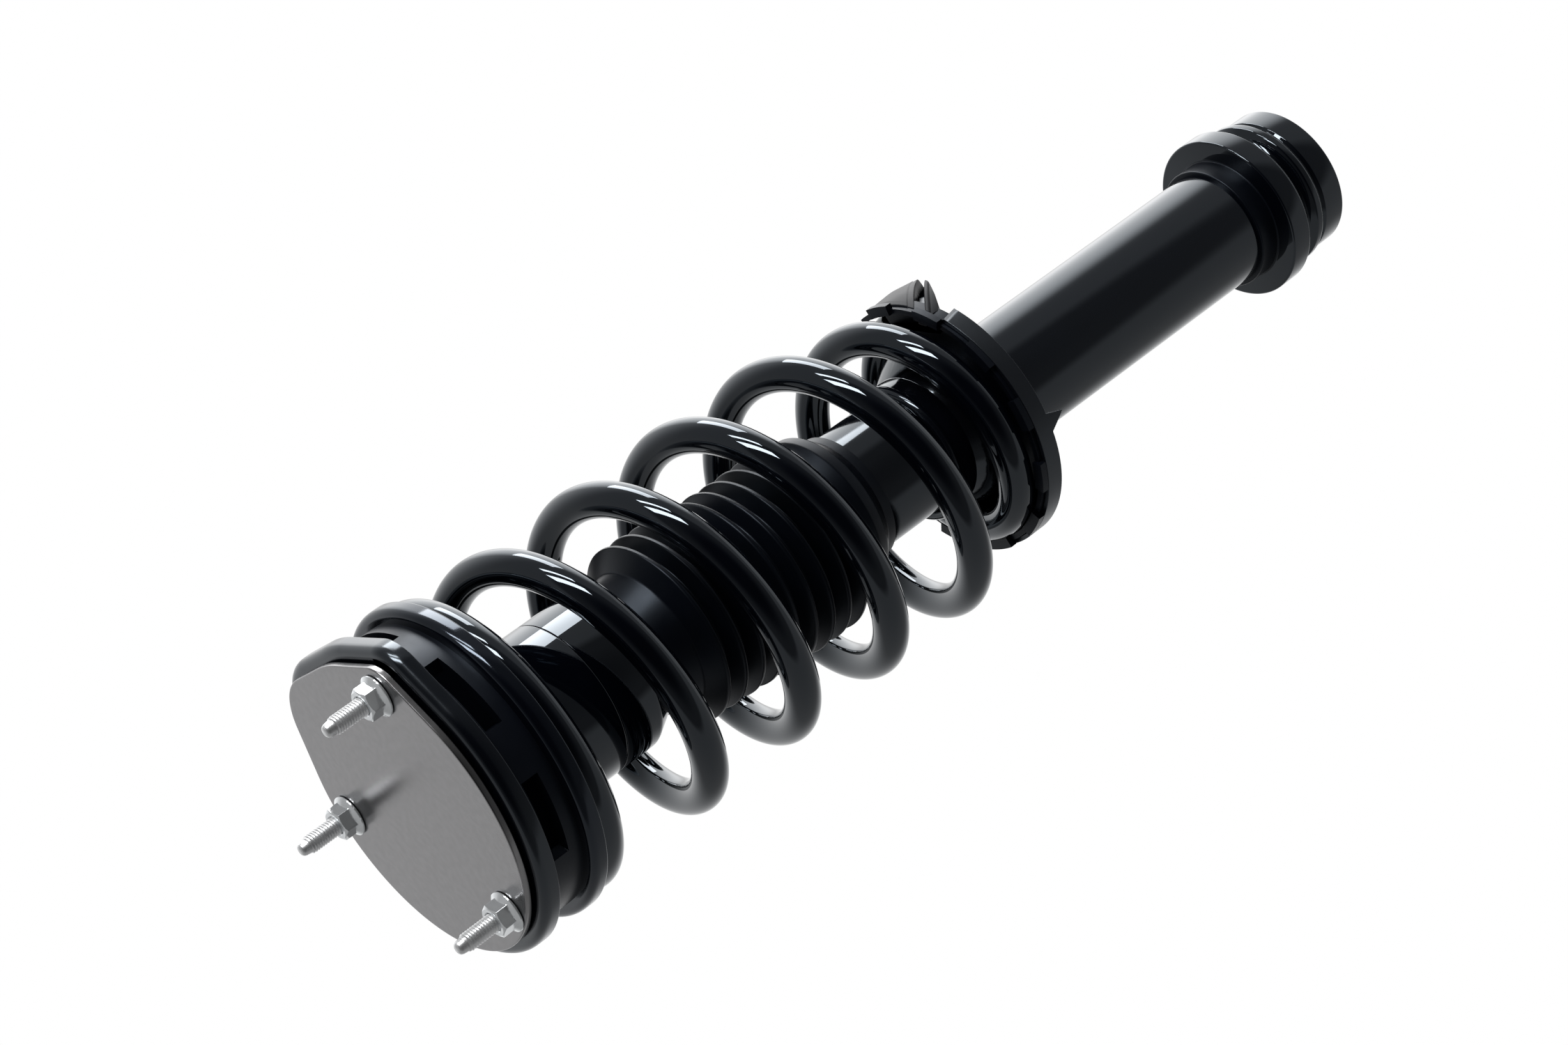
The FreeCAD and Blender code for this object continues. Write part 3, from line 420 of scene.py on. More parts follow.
def coil_line(turn):
    """Middle of the wire at each turn, and the direction away from the axis there.

    The depth is the lead added up from the first turn. The radius narrows over the neck. The middle of
    the turns starts at the mount's own middle, comes to the axis, and leans aside at the fifth turn.
    """
    leads = np.array(COIL_LEAD)
    lead = np.interp(turn, leads[:, 0], leads[:, 1])
    drop = np.concatenate([[0], np.cumsum((lead[1:] + lead[:-1]) / 2 * np.diff(turn))])
    radius = COIL_R - (COIL_R - COIL_END_R) * smooth(turn, *COIL_NECK)
    angle = np.radians(COIL_BEARING - 360 * turn)
    out = np.stack([np.cos(angle), np.sin(angle), 0 * angle], -1)
    seat = levels("upper_isolator")[1] - LIP_SKIRT
    path = out * radius[:, None]
    path[:, 2] = -(seat + COIL_SEAT_GAP + WIRE_R + drop)
    path[:, :2] += SPRING_CENTRE * (1 - smooth(turn, *COIL_CENTRING))[:, None]
    lean = smooth(turn, *COIL_LEAN_OUT) * (1 - smooth(turn, *COIL_LEAN_BACK))
    path[:, :2] += COIL_LEAN * lean[:, None]
    return path, out


def sweep(path, out):
    """Grid of the wire along a path: circles in the plane of out and its cross product with the way.

    The radius shrinks over the last two rows at each end, which breaks the edge of the cut face.
    """
    way = np.gradient(path, axis=0)
    way /= np.linalg.norm(way, axis=1)[:, None]
    out = out - way * (out * way).sum(1)[:, None]
    out /= np.linalg.norm(out, axis=1)[:, None]
    side = np.cross(way, out)
    size = np.full((len(path), 1, 1), WIRE_R)
    size[[0, -1]] -= WIRE_EDGE
    path[0] = path[1] - way[1] * WIRE_END
    path[-1] = path[-2] + way[-2] * WIRE_END
    angle = np.linspace(0, 2 * np.pi, WIRE_SIDES, endpoint=False)[None, :, None]
    circle = np.cos(angle) * out[:, None] + np.sin(angle) * side[:, None]
    return path[:, None] + size * circle


turns = np.linspace(0, COIL_TURNS, COIL_STEPS)
coil_path, coil_out = coil_line(turns)
coil = skin("spring_wire", sweep(coil_path, coil_out))
print("spring from depth", round(-coil_path[0, 2], 1), "to", round(-coil_path[-1, 2], 1))
coil.data.materials.append(gloss_black)
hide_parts("coil_spring")
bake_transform(coil)

# These grow over the free turns only, from 0, which stays with the mount, to 1, which goes with the tube.
low, high = (coil_path[turns < limit, 2].min() for limit in (ACTIVE_TO, ACTIVE_FROM))
share = np.interp(coil_path[:, 2], [low, high], [1, 0])
share = np.concatenate([np.repeat(share, WIRE_SIDES), share[[0, -1]]])

# %% [markdown]
# The top plate and the pressed housing under it share an outline: one large arc, two corner arcs and the
# tangents between them. Such an outline is the edge of a stretched skin round three discs. In any
# direction its furthest disc is the one that touches the skin, so a formula finds each point.

# %% The top plate's outline
PLATE_DISCS = np.array([[*polar(3.7, 261.0), 66.6],
                        [*polar(55.8, 148.0), 15.0],
                        [*polar(45.5, 220.5), 30.5]])  # x, y and radius
OUTLINE_STEPS = 480
HOUSING_GROW = 5.46  # by how much the housing is larger than the plate all round
HOUSING_HOLE = -44.0


def plate_edge(grow):
    """Outline points of the plate, moved out by each value of grow; a row per value.

    For a direction a the furthest disc has the largest value of its centre along a plus its radius, and
    the edge is that centre plus (radius + grow) along a.
    """
    angle = np.linspace(0, 2 * np.pi, OUTLINE_STEPS, endpoint=False)
    way = np.stack([np.cos(angle), np.sin(angle)], -1)
    disc = np.argmax(way @ PLATE_DISCS[:, :2].T + PLATE_DISCS[:, 2], axis=1)
    centre = PLATE_DISCS[disc, :2]
    radius = PLATE_DISCS[disc, 2][None, :, None] + np.asarray(grow)[:, None, None]
    return centre[None] + radius * way[None]


def pressed(name, corners, ring=True):
    """Piece whose outline of (grow, depth, corner radius) points follows the plate's edge."""
    outline = rounded(corners, closed=ring)
    edge = plate_edge(outline[:, 0])
    depth = np.broadcast_to(-outline[:, 1][:, None, None], edge.shape[:2] + (1,))
    return skin(name, np.concatenate([edge, depth], -1), ring=ring)


plate_bottom = levels("top_plate")[1]
plate = pressed("plate", [(-1.2, 0.0), (0.0, 0.0, 0.7), (0.0, plate_bottom, 0.5), (-1.2, plate_bottom)],
                ring=False)
dress(plate, plate_grey, "mount_side", "plate_steel", "top_plate")
housing_top, housing_bottom = levels("mount_housing")
shoulder = housing_top + 1.5
underside = shoulder + 2.5
housing = pressed("housing", [(HOUSING_HOLE, shoulder), (HOUSING_GROW, shoulder, 8.0),
                              (HOUSING_GROW, housing_bottom, 0.6), (3.0, housing_bottom, 0.6),
                              (3.0, underside, 2.5), (HOUSING_HOLE, underside)])
dress(housing, housing_black, "mount_side", "black_steel", "mount_housing")

# %% [markdown]
# The studs carry a real rolled thread, because light runs along its flanks as fine stripes. A thread is a
# radius that depends on depth and on angle together: move one turn round and the same groove is one
# pitch further on. It fades out at the plain lead-in point, which guides the nut.

# %% Threaded studs
STUD_SPOTS = polar(2.1, 215.0) + polar(57.1, 28.0 + 120.0 * np.arange(3))
STUD_R = 4.0
THREAD_PITCH = 1.25
THREAD_DEPTH = 0.5
THREAD_ROW = 0.09  # depth from one row of points to the next
THREAD_END = 8.0
THREAD_PHASES = (0.0, 0.37, 0.71)
STUD_SIDES = 48
HEAD_R = 6.3
HEAD_THICK = 3.0
stud_tip, stud_head = levels("mount_studs")


def threaded(spot, phase):
    """Stud whose radius is its outline's less a thread: depth x (1 - |2 f - 1|) of the phase fraction f.

    The fraction f counts turns of the helix, depth / pitch + angle / 360. The crest is cut flat.
    """
    under_head = stud_head - HEAD_THICK
    depth = np.concatenate([[stud_tip], np.arange(stud_tip + 0.06, THREAD_END, THREAD_ROW),
                            [THREAD_END, under_head, under_head, stud_head]])
    point_depth = stud_tip + np.array([0.0, 0.25, 0.8, 1.6, 3.6, 5.0])
    point_r = [1.4, 2.1, 2.6, 2.9, 3.2, STUD_R]
    radius = np.interp(depth, point_depth, point_r)
    radius[-2:] = HEAD_R
    angle = np.linspace(0, 2 * np.pi, STUD_SIDES, endpoint=False)
    turn = (depth[:, None] / THREAD_PITCH + angle[None, :] / (2 * np.pi) + phase) % 1.0
    groove = np.clip(1.25 * (1 - np.abs(2 * turn - 1)) - 0.12, 0, 1)
    cut = THREAD_DEPTH * smooth(depth, stud_tip + 3.0, stud_tip + 5.5)
    cut *= 1 - smooth(depth, THREAD_END - 1.0, THREAD_END)
    size = radius[:, None] - cut[:, None] * groove
    return np.stack([spot[0] + size * np.cos(angle), spot[1] + size * np.sin(angle),
                     np.broadcast_to(-depth[:, None], size.shape)], -1)


studs = skin("threaded_studs", [threaded(spot, phase) for spot, phase in zip(STUD_SPOTS, THREAD_PHASES)],
             sharp=np.radians(50))
dress(studs, zinc, "mount_side", "zinc", "mount_studs")

# %% [markdown]
# A flange nut is two shapes in one: a hexagon whose top corners are turned off by a cone, standing on a
# wide round flange. In one formula the radius is the smaller of hexagon and cone, or the flange where
# that is larger. The hexagon's corners are eased, as on a forged nut.

# %% Flange nuts
NUT_HALF = 6.5
NUT_SIDES = 240
CORNER_POWER = 70  # the higher, the sharper the hexagon's corners
nut_top, nut_foot = levels("flange_nuts")


def hexagon(angle):
    """Radius of a hexagon with soft corners: half its width over the p-norm of its six face cosines."""
    faces = np.radians(30 + 60 * np.arange(6))
    cosines = np.clip(np.cos(angle[:, None] - faces[None, :]), 0, 1)
    return NUT_HALF / (cosines ** CORNER_POWER).sum(1) ** (1 / CORNER_POWER)


def nut(spot):
    """Closed ring of rows: up the outside, over the top face, down the bore and back under the flange."""
    height = nut_foot - nut_top
    up = np.concatenate([[0.0, 0.15, 0.5, 0.9, 1.15], np.linspace(1.3, height - 1.2, 26),
                         np.linspace(height - 1.1, height, 12)])
    flange = np.interp(up, [0.0, 0.15, 0.5, 0.9, 1.15, 3.1], [8.9, 9.1, 9.2, 9.1, 8.75, 5.6])
    cap = np.interp(up, [0.0, height - 1.1, height], [9.0, 7.75, 6.1])
    angle = np.linspace(0, 2 * np.pi, NUT_SIDES, endpoint=False)
    outside = np.maximum(flange[:, None], np.minimum(cap[:, None], hexagon(angle)[None, :]))
    bore_r = np.array([4.7, 4.1, 4.1, 4.7])
    bore_up = np.array([height, height - 0.6, 0.5, 0.0])
    radius = np.concatenate([outside, bore_r[:, None] + 0 * angle[None, :]])
    rise = np.concatenate([up, bore_up])[:, None] + 0 * angle[None, :]
    return np.stack([spot[0] + radius * np.cos(angle), spot[1] + radius * np.sin(angle),
                     rise - nut_foot], -1)


nuts = skin("flange_nuts_forged", [nut(spot) for spot in STUD_SPOTS], ring=True, sharp=np.radians(28))
dress(nuts, nut_zinc, "mount_side", "zinc", "flange_nuts")

# %% [markdown]
# The moulded ring below the housing has a row of rectangular pockets. It is a cylinder whose radius drops
# where both the angle and the depth are inside a pocket, with grid lines drawn close to each pocket edge.

# %% The moulded ring with its pockets
POCKETS = np.array([69.5, 122.0, 174.5, 249.5, 302.0, 354.5])  # bearings of their middles
POCKET_HALF = 16.0
POCKET_DEPTH = 5.5
POCKET_HIGH = 8.2
POCKET_GAP = 1.3  # from the housing's edge down to the pockets
EDGE = 0.25
RING_R = 66.5


def close_lines(low, high, edges, count, gap):
    """Evenly spread values from low to high, with extra ones at gap to each side of every edge."""
    extra = [edge + shift for edge in edges for shift in (-gap, 0.0, gap)]
    return np.unique(np.round(np.concatenate([np.linspace(low, high, count), extra]), 4))


ring_bottom = levels("upper_isolator")[0]
pocket_top = housing_bottom + POCKET_GAP
pocket_bottom = pocket_top + POCKET_HIGH
pocket_edges = [bearing + side * POCKET_HALF for bearing in POCKETS for side in (-1, 1)]
ring_angle = close_lines(0, 360, np.mod(pocket_edges, 360), 361, EDGE / 2)[:-1]
ring_depth = close_lines(housing_top + 3, ring_bottom, [pocket_top, pocket_bottom], 30, EDGE)
off = np.abs((ring_angle[:, None] - POCKETS[None, :] + 180) % 360 - 180).min(1)
inside_angle = 1 - smooth(off, POCKET_HALF - EDGE, POCKET_HALF)
inside_depth = smooth(ring_depth, pocket_top, pocket_top + EDGE)
inside_depth *= 1 - smooth(ring_depth, pocket_bottom - EDGE, pocket_bottom)
ring_radius = RING_R - POCKET_DEPTH * inside_depth[:, None] * inside_angle[None, :]
around = np.radians(ring_angle)[None, :]
ring_grid = np.stack([ring_radius * np.cos(around) + SPRING_CENTRE[0],
                      ring_radius * np.sin(around) + SPRING_CENTRE[1],
                      np.broadcast_to(-ring_depth[:, None], ring_radius.shape)], -1)
pocket_ring = skin("pocket_ring", ring_grid)
dress(pocket_ring, moulded_black, "mount_side", "moulded", "mount_base")

# Hardly any light gets into a pocket, so its floor is painted black as painted shade. A floor face has all
# of its corners sunk.
deep = ring_radius < RING_R - POCKET_DEPTH / 2
deep &= np.roll(deep, -1, 1)
floors = deep[:-1] & deep[1:]
paint_faces(pocket_ring, painted_shade, floors)
print("pocket floors:", int(floors.sum()), "faces of", len(pocket_ring.data.polygons))

# %% [markdown]
# A rubber ring keeps the spring's end turn from ringing against the mount. It is moulded with a lip that
# hangs over the wire. A lathed outline is enough, since nothing on it changes round the ring; it is turned
# on the spring's own middle, which is a little off the rod's.

# %% The upper isolator
ISO_BORE_R = 47.8
LIP_WALL = 2.2
iso_top, iso_bottom = levels("upper_isolator")
lip_r = reach("upper_isolator") - 0.03  # a hair inside the solid
spring_seat = iso_bottom - LIP_SKIRT
isolator = turned("upper_ring", [(ISO_BORE_R, iso_top), (lip_r, iso_top, 5.0), (lip_r, iso_bottom, 0.9),
                                 (lip_r - LIP_WALL, iso_bottom, 0.6), (lip_r - LIP_WALL, spring_seat, 0.6),
                                 (ISO_BORE_R, spring_seat)], aside=SPRING_CENTRE)
dress(isolator, ring_rubber, "mount_side", "rubber", "upper_isolator")

# %% [markdown]
# Below the mount hangs a deep-drawn cup that holds the bump stop and carries the boot. Drawing thins a
# sheet hardly at all, so the outline has the same wall everywhere and its corners are large outside and
# small inside. It is a lathed outline too, since a drawn cup is round.

# %% The bump stop's cup
CUP_R = 35.5
CUP_INNER_R = 33.7
CUP_HOLE_R = 9.0
CUP_BRIM_R = 44.0
cup_top, cup_bottom = levels("bump_stop_cup")
cup_roof = cup_top + 1.8  # the underside of its sheet
cup = turned("cup", [(CUP_HOLE_R, cup_top), (CUP_BRIM_R, cup_top, 0.8), (CUP_BRIM_R, cup_roof, 0.6),
                     (CUP_R, cup_roof, 1.5), (CUP_R, cup_bottom, 4.0), (CUP_INNER_R, cup_bottom, 0.6),
                     (CUP_INNER_R, cup_roof, 1.0), (CUP_HOLE_R, cup_roof)])
dress(cup, gloss_black, "mount_side", "black_steel", "bump_stop_cup")

# %% [markdown]
# The damper's tube is drawn steel, cut to length. A thick collar and a turned end are pushed on and welded,
# and locate the strut in its fork. All three are lathed. The collar's short hub is dull in the photograph,
# so its faces take a second material by their place in the outline.

# %% The damper tube, its collar and its turned end
TUBE_BORE_R = 25.5
HUB_R = 29.4
COLLAR_R = 39.2
COLLAR_THICK = 11.2
tube = turned("tube", [(TUBE_BORE_R, tube_top), (tube_r, tube_top, 0.5),
                       (tube_r, tube_bottom, 0.5), (TUBE_BORE_R, tube_bottom)])
dress(tube, tube_black, "tube_side", "black_steel", "damper_tube")
collar_top, collar_bottom = levels("locating_collar")
collar_face = collar_bottom - COLLAR_THICK
collar_outline = rounded([(tube_r, collar_top), (HUB_R, collar_top, 0.8), (HUB_R, collar_face, 1.0),
                          (COLLAR_R, collar_face, 1.0), (COLLAR_R, collar_bottom, 1.0),
                          (tube_r, collar_bottom)])
collar = skin("collar", lathe(collar_outline), ring=True)
dress(collar, gloss_black, "tube_side", "black_steel", "locating_collar")
on_hub = (collar_outline[:, 0] < HUB_R + 0.6) & (collar_outline[:, 1] < collar_face)
paint_faces(collar, boot_rubber, np.repeat(on_hub, LATHE_STEPS))
end_top, end_bottom = levels("end_sleeve")
sleeve = turned("turned_end", [(tube_r, end_top), (37.2, end_top, 0.4), (37.2, end_top + 1.6, 0.6),
                               (31.0, end_top + 3.2, 2.5), (31.5, end_top + 7.0, 3.0),
                               (35.6, end_top + 10.0, 1.2), (35.6, end_top + 13.6, 1.5),
                               (33.0, end_top + 14.7, 0.4), (33.0, end_top + 16.2, 0.4),
                               (34.2, end_top + 17.4, 0.8), (34.2, end_bottom, 0.8), (tube_r, end_bottom)])
dress(sleeve, gloss_black, "tube_side", "black_steel", "end_sleeve")

# %% [markdown]
# The boot is soft rubber hanging between the cup and the tube. Real ones sag a little to one side, so each
# of its rings is moved aside by an amount that grows along the ribs and goes back at the cuff. The ribs
# are a rounded zigzag, and the wall is the same outline moved in by its thickness. Its collar is as glossy
# as the cup and takes the cup's finish.

# %% The dust boot
BOOT_WALL = 1.4
BOOT_RIBS = 9
RIB_R = 41.6
VALLEY_R = 34.5
RIB_PITCH = 9.6
FIRST_RIB = 131.8
SAG = 3.4
SAG_BEARING = 10.0
SAG_FROM, SAG_FULL = 132.0, 192.0
SAG_BACK, SAG_END = 206.0, 232.0
BOOT_COLLAR = 19.0  # the length of its glossy collar
BOOT_BORE_R = 27.6
BOOT_STEPS = 144
boot_top, boot_bottom = levels("dust_boot")


def boot_outline():
    """Outer outline of the boot as (radius, depth, corner radius), from the cup down to the tube."""
    lead = [(33.4, boot_top), (33.4, cup_bottom + 0.1), (35.4, cup_bottom + 0.1, 0.15),
            (35.4, cup_bottom + BOOT_COLLAR, 5.0), (28.5, cup_bottom + 31.0, 5.0),
            (29.1, cup_bottom + 34.0, 2.0), (32.6, FIRST_RIB - 5.8, 2.0)]
    ribs = []
    for rib in range(BOOT_RIBS):
        crest = FIRST_RIB + rib * RIB_PITCH
        ribs += [(RIB_R, crest - 0.9, 0.9), (RIB_R, crest + 0.9, 0.9),
                 (VALLEY_R, crest + 4.0, 1.1), (VALLEY_R, crest + 5.6, 1.1)]
    last = FIRST_RIB + BOOT_RIBS * RIB_PITCH - RIB_PITCH / 2 + 0.8
    return lead + ribs + [(36.2, last + 5.5, 2.0), (37.0, last + 11.0, 3.0), (35.6, last + 16.6, 3.0),
                          (30.0, boot_bottom - 5.0, 2.0), (29.4, boot_bottom, 0.5)]


outer = rounded(boot_outline(), closed=False)
inner = np.stack([np.maximum(outer[:, 0] - BOOT_WALL, BOOT_BORE_R), outer[:, 1]], -1)[::-1]
outline = np.concatenate([outer, inner])
boot_grid = lathe(outline, BOOT_STEPS)
sag = SAG * smooth(outline[:, 1], SAG_FROM, SAG_FULL) * (1 - smooth(outline[:, 1], SAG_BACK, SAG_END))
boot_grid[:, :, :2] += (sag[:, None] * polar(1.0, SAG_BEARING))[:, None, :]
boot = skin("boot", boot_grid, ring=True, sharp=np.radians(60))
print("boot from depth", round(boot_top, 1), "to", round(boot_bottom, 1), "sags by", SAG)
dress(boot, boot_rubber, "mount_side", "rubber", "dust_boot")
in_collar = outline[:, 1] < cup_bottom + BOOT_COLLAR + 2.0
paint_faces(boot, gloss_black, np.repeat(in_collar, BOOT_STEPS))
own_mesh(boot)

# %% [markdown]
# The spring seat is a deep pressing with a ramp, a rim and folded corners, and its pad follows every step
# of it. Those shapes were cut from the solids, so the solid's own mesh is copied, its loose triangles are
# merged, and its edges get the small round that a press tool leaves. A solid's mesh has long thin faces,
# which draw spikes in a mirror finish; weighing each point's light by the size of its faces takes them out.
# The solid itself is not touched.

# %% The spring seat
def eased(node, name, round_mm):
    """Copy of a node's mesh with merged points, rounded edges and evened light."""
    piece = bpy.data.objects.new(name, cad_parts[node].data.copy())
    bpy.context.scene.collection.objects.link(piece)
    work = bmesh.new()
    work.from_mesh(piece.data)
    bmesh.ops.remove_doubles(work, verts=work.verts, dist=1e-6)
    bmesh.ops.dissolve_limit(work, angle_limit=np.radians(1.0), verts=work.verts, edges=work.edges)
    work.to_mesh(piece.data)
    work.free()
    bevel = piece.modifiers.new("press_round", "BEVEL")
    bevel.width = round_mm * MM
    bevel.segments = 3
    bevel.limit_method = "ANGLE"
    bevel.angle_limit = np.radians(32)
    bevel.miter_outer = "MITER_ARC"
    ready = bpy.data.meshes.new_from_object(piece.evaluated_get(bpy.context.evaluated_depsgraph_get()))
    piece.modifiers.clear()
    piece.data = ready
    ready.shade_smooth()
    ready.set_sharp_from_angle(angle=np.radians(30))
    even = piece.modifiers.new("even_light", "WEIGHTED_NORMAL")
    even.mode = "FACE_AREA"
    even.keep_sharp = True
    print(name, "faces", len(ready.polygons))
    return piece


seat = eased("lower_spring_seat", "pressed_seat", 0.6)
dress(seat, seat_satin, "tube_side", "black_steel", "lower_spring_seat")

# %% [markdown]
# At one side the rim swells into a lobe that closes the wire's end pocket. It was drawn out of the sheet,
# so it bulges, has a deep groove with a narrow ridge beside it, and runs out along a slanting edge. Its
# radius is one formula of bearing and depth; the sheet's inner face is the same formula less its thickness.
# The copy of the seat has a plain fold there, and the fold's points are drawn in behind the groove.

# %% The lobe of the seat
LOBE_R = 58.4
LOBE_SHEET = 2.0
LOBE_TOP = 303.6
LOBE_BACK = (186.0, 0.75)  # beyond this bearing the top drops, by so many millimetres per degree
LOBE_ROWS = 260
LOBE_POINTS = 90
LOBE_EDGE = ((145.0, 309.4), (156.0, 317.5), (167.0, 325.0), (173.0, 327.0), (178.0, 328.5), (182.0, 331.6),
             (185.0, 333.3), (190.0, 333.6), (196.0, 326.0), (200.0, 316.0))  # depth at each bearing
LOBE_BULGE = ((303.5, 0.0), (307.0, 0.6), (313.7, 1.1), (321.9, 1.6), (329.7, 1.6), (333.6, 1.2))
GROOVE = (158.0, 310.0, 1.03)  # bearing, at this depth, and degrees further round per millimetre
GROOVE_HALF = 3.0
GROOVE_DEPTH = 6.0
# Below this depth the groove's walls are painted black, as painted shade.
GROOVE_SHADE = 2.6  # how far down its walls turn black
FOLD = (140.0, 200.0)  # bearings of the copy's plain fold
FOLD_R = 54.0  # its points stand further out than this
FOLD_BEHIND_R = 50.0  # and go to this radius
FOLD_BELOW_TOP = 0.5
FOLD_ABOVE_EDGE = 1.5


def lobe_top(bearing):
    """Depth of the lobe's upper edge."""
    return LOBE_TOP + LOBE_BACK[1] * np.clip(bearing - LOBE_BACK[0], 0, None)


def lobe_sections():
    """Closed section of the sheet at each bearing: down its outer face and back up its inner face.

    The value past counts the degrees beyond the groove's middle line at each point's own depth.
    """
    bearing = np.linspace(LOBE_EDGE[0][0], LOBE_EDGE[-1][0], LOBE_ROWS)[:, None]
    top = lobe_top(bearing)
    edge = np.interp(bearing, *np.transpose(LOBE_EDGE))
    depth = top + (edge - top) * np.linspace(0, 1, LOBE_POINTS)[None, :]
    past = bearing - GROOVE[0] - GROOVE[2] * (depth - GROOVE[1])
    radius = LOBE_R + np.interp(depth, *np.transpose(LOBE_BULGE)) * smooth(past, 3.5, 24.0)
    radius += 0.35 * smooth(past, 7.0, 7.6) - 1.2 * smooth(-past, 7.0, 18.0)
    radius += 0.9 * smooth(past, -7.0, -5.5) * (1 - smooth(past, -4.5, -3.2))
    radius -= GROOVE_DEPTH * smooth(past, -GROOVE_HALF - 0.4, -GROOVE_HALF + 0.6) * (
        1 - smooth(past, GROOVE_HALF - 0.6, GROOVE_HALF + 0.4))
    near_top, near_edge = (np.clip(1 - gap / 0.8, 0, 1) for gap in (depth - top, edge - depth))
    edge_round = 0.5 * (near_top ** 2 + near_edge ** 2)
    outer = radius - edge_round
    inner = (radius - LOBE_SHEET + edge_round)[:, ::-1]
    size = np.concatenate([outer, inner], 1)
    turn = np.radians(bearing)
    down = np.concatenate([depth, depth[:, ::-1]], 1)
    return np.stack([size * np.cos(turn), size * np.sin(turn), -down], -1)


lobe_grid = lobe_sections()
lobe = skin("seat_lobe", lobe_grid, sharp=np.radians(50))
dress(lobe, lobe_satin, "tube_side", "black_steel")
# Faces of the groove deeper than that are painted black with no shine: painted shade, since little light
# gets down there. The inner face keeps the lobe's finish.
sunk = np.hypot(lobe_grid[:-1, :, 0], lobe_grid[:-1, :, 1]) < LOBE_R - GROOVE_SHADE
sunk[:, LOBE_POINTS - 1:] = False  # the inner face
paint_faces(lobe, painted_shade, sunk)

# %% The seat's plain fold goes behind the lobe
spots = np.zeros(3 * len(seat.data.vertices))
seat.data.vertices.foreach_get("co", spots)
spots = spots.reshape(-1, 3) / MM
at = np.degrees(np.arctan2(spots[:, 1], spots[:, 0])) % 360
away = np.hypot(spots[:, 0], spots[:, 1])
fold = (at > FOLD[0]) & (at < FOLD[1]) & (away > FOLD_R)
highest = lobe_top(at[fold]) + FOLD_BELOW_TOP
lowest = np.interp(at[fold], *np.transpose(LOBE_EDGE)) - FOLD_ABOVE_EDGE
spots[fold, 2] = -np.clip(-spots[fold, 2], highest, lowest)
spots[fold, :2] *= (FOLD_BEHIND_R / away[fold])[:, None]
seat.data.vertices.foreach_set("co", (spots * MM).ravel())
print("points drawn in behind the lobe:", int(fold.sum()))

# %% [markdown]
# The pad under the spring's lower end is rubber with tabs that snap over the rim. It follows the seat's
# ramp. Drawing it anew could leave gaps and its own mesh with rounded edges can't, so it is made the same
# way as the seat.

# %% The seat's pad
pad = eased("lower_isolator", "seat_pad", 0.7)
dress(pad, moulded_black, "tube_side", "rubber", "lower_isolator")

# %% [markdown]
# Inside the cup is a foam stop with waists, which fold first and make it soft at the start of its travel.
# It is moulded round, so it is lathed. Hardly any of it shows, and its outline has few points.

# %% The bump stop
STOP_BORE_R = 7.6
STOP_STEPS = 96
stop_top, stop_bottom = levels("bump_stop")
waists = [(33.0, 16.0, 4.0), (23.0, 20.0, 3.0), (23.0, 40.0, 5.0), (19.0, 48.0, 5.0), (21.0, 58.0, 5.0),
          (21.0, 68.0, 5.0), (17.0, 76.0, 4.0)]  # radius, how far down, corner radius
stop = turned("bump_stop_foam", [(STOP_BORE_R, stop_top), (33.0, stop_top, 1.0),
                                 *[(wide, stop_top + down, corner) for wide, down, corner in waists],
                                 (15.0, stop_bottom - 3.0, 1.0), (13.0, stop_bottom, 1.0),
                                 (STOP_BORE_R, stop_bottom)], STOP_STEPS)
dress(stop, foam, "mount_side", "bump", "bump_stop")

# %% [markdown]
# The damper's inside is machined steel that nobody sees from outside: rod, piston, shims, valve and guide.
# Their solids already have the right shape, and a drawn copy would add nothing. They keep their own meshes
# and only get the finish of the real piece.

# %% Nodes that keep their own shape
KEPT = (
    (bright_steel, ("inner_sleeve", "upper_washer", "lower_washer", "piston", "rebound_shims",
                    "compression_shims", "piston_nut", "guide_bush", "rod_guide", "base_valve",
                    "pressure_tube")),
    (ring_rubber, ("mount_rubber", "rod_seal")),
    (moulded_black, ("rebound_stop", "piston_band")),
    (chrome, ("piston_rod",)),
    (zinc, ("rod_nut",)),
    (gloss_black, ("tube_cap",)),
    (tube_black, ("tube_base",)),
)
for material, nodes in KEPT:
    for node in nodes:
        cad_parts[node].data.materials.clear()
        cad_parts[node].data.materials.append(material)

# %% [markdown]
# The camera stands where the photographer's did. Its place and lens were solved from the photograph: the
# spring's turns, the tube's edges and the collar fix the view about 60 degrees off the strut's axis. A lens
# is kept in pixels of the full frame, because that is what such a fit gives.

# %% The camera
CAMERA_AT = (-0.24342, 1.34186, 0.56728)
CAMERA_AIM = (-0.00283, -0.02262, -0.22287)
CAMERA_UP = (-0.84771, 0.14586, -0.51001)
SENSOR_WIDTH = 36.0
FOCAL_PIXELS = 5380.55
FRAME_PIXELS = 2250


def aimed(place, target, up):
    """Matrix of an object at place whose -Z looks at the target, with its Y as near to up as it can be."""
    forward = (Vector(target) - Vector(place)).normalized()
    right = forward.cross(Vector(up)).normalized()
    top = right.cross(forward)
    turn = Matrix((right, top, -forward)).transposed()
    return Matrix.Translation(place) @ turn.to_4x4()


camera_data = bpy.data.cameras.new("camera")
camera_data.sensor_width = SENSOR_WIDTH
camera_data.lens = FOCAL_PIXELS * SENSOR_WIDTH / FRAME_PIXELS
camera = bpy.data.objects.new("camera", camera_data)
bpy.context.scene.collection.objects.link(camera)
camera.matrix_world = aimed(CAMERA_AT, CAMERA_AIM, CAMERA_UP)
bpy.context.scene.camera = camera

# %% [markdown]
# Gloss black has hardly any colour of its own: what one sees on it is the studio. So the studio is built as
# the photograph's reflections show it. Dim walls stand round the strut and end in the dark on the camera's
# side, with pale paper behind the strut and a bright patch above that. Strip lamps hang up to the left,
# where they draw the pairs of streaks on every turn; a panel behind lights the tube's upper edge.

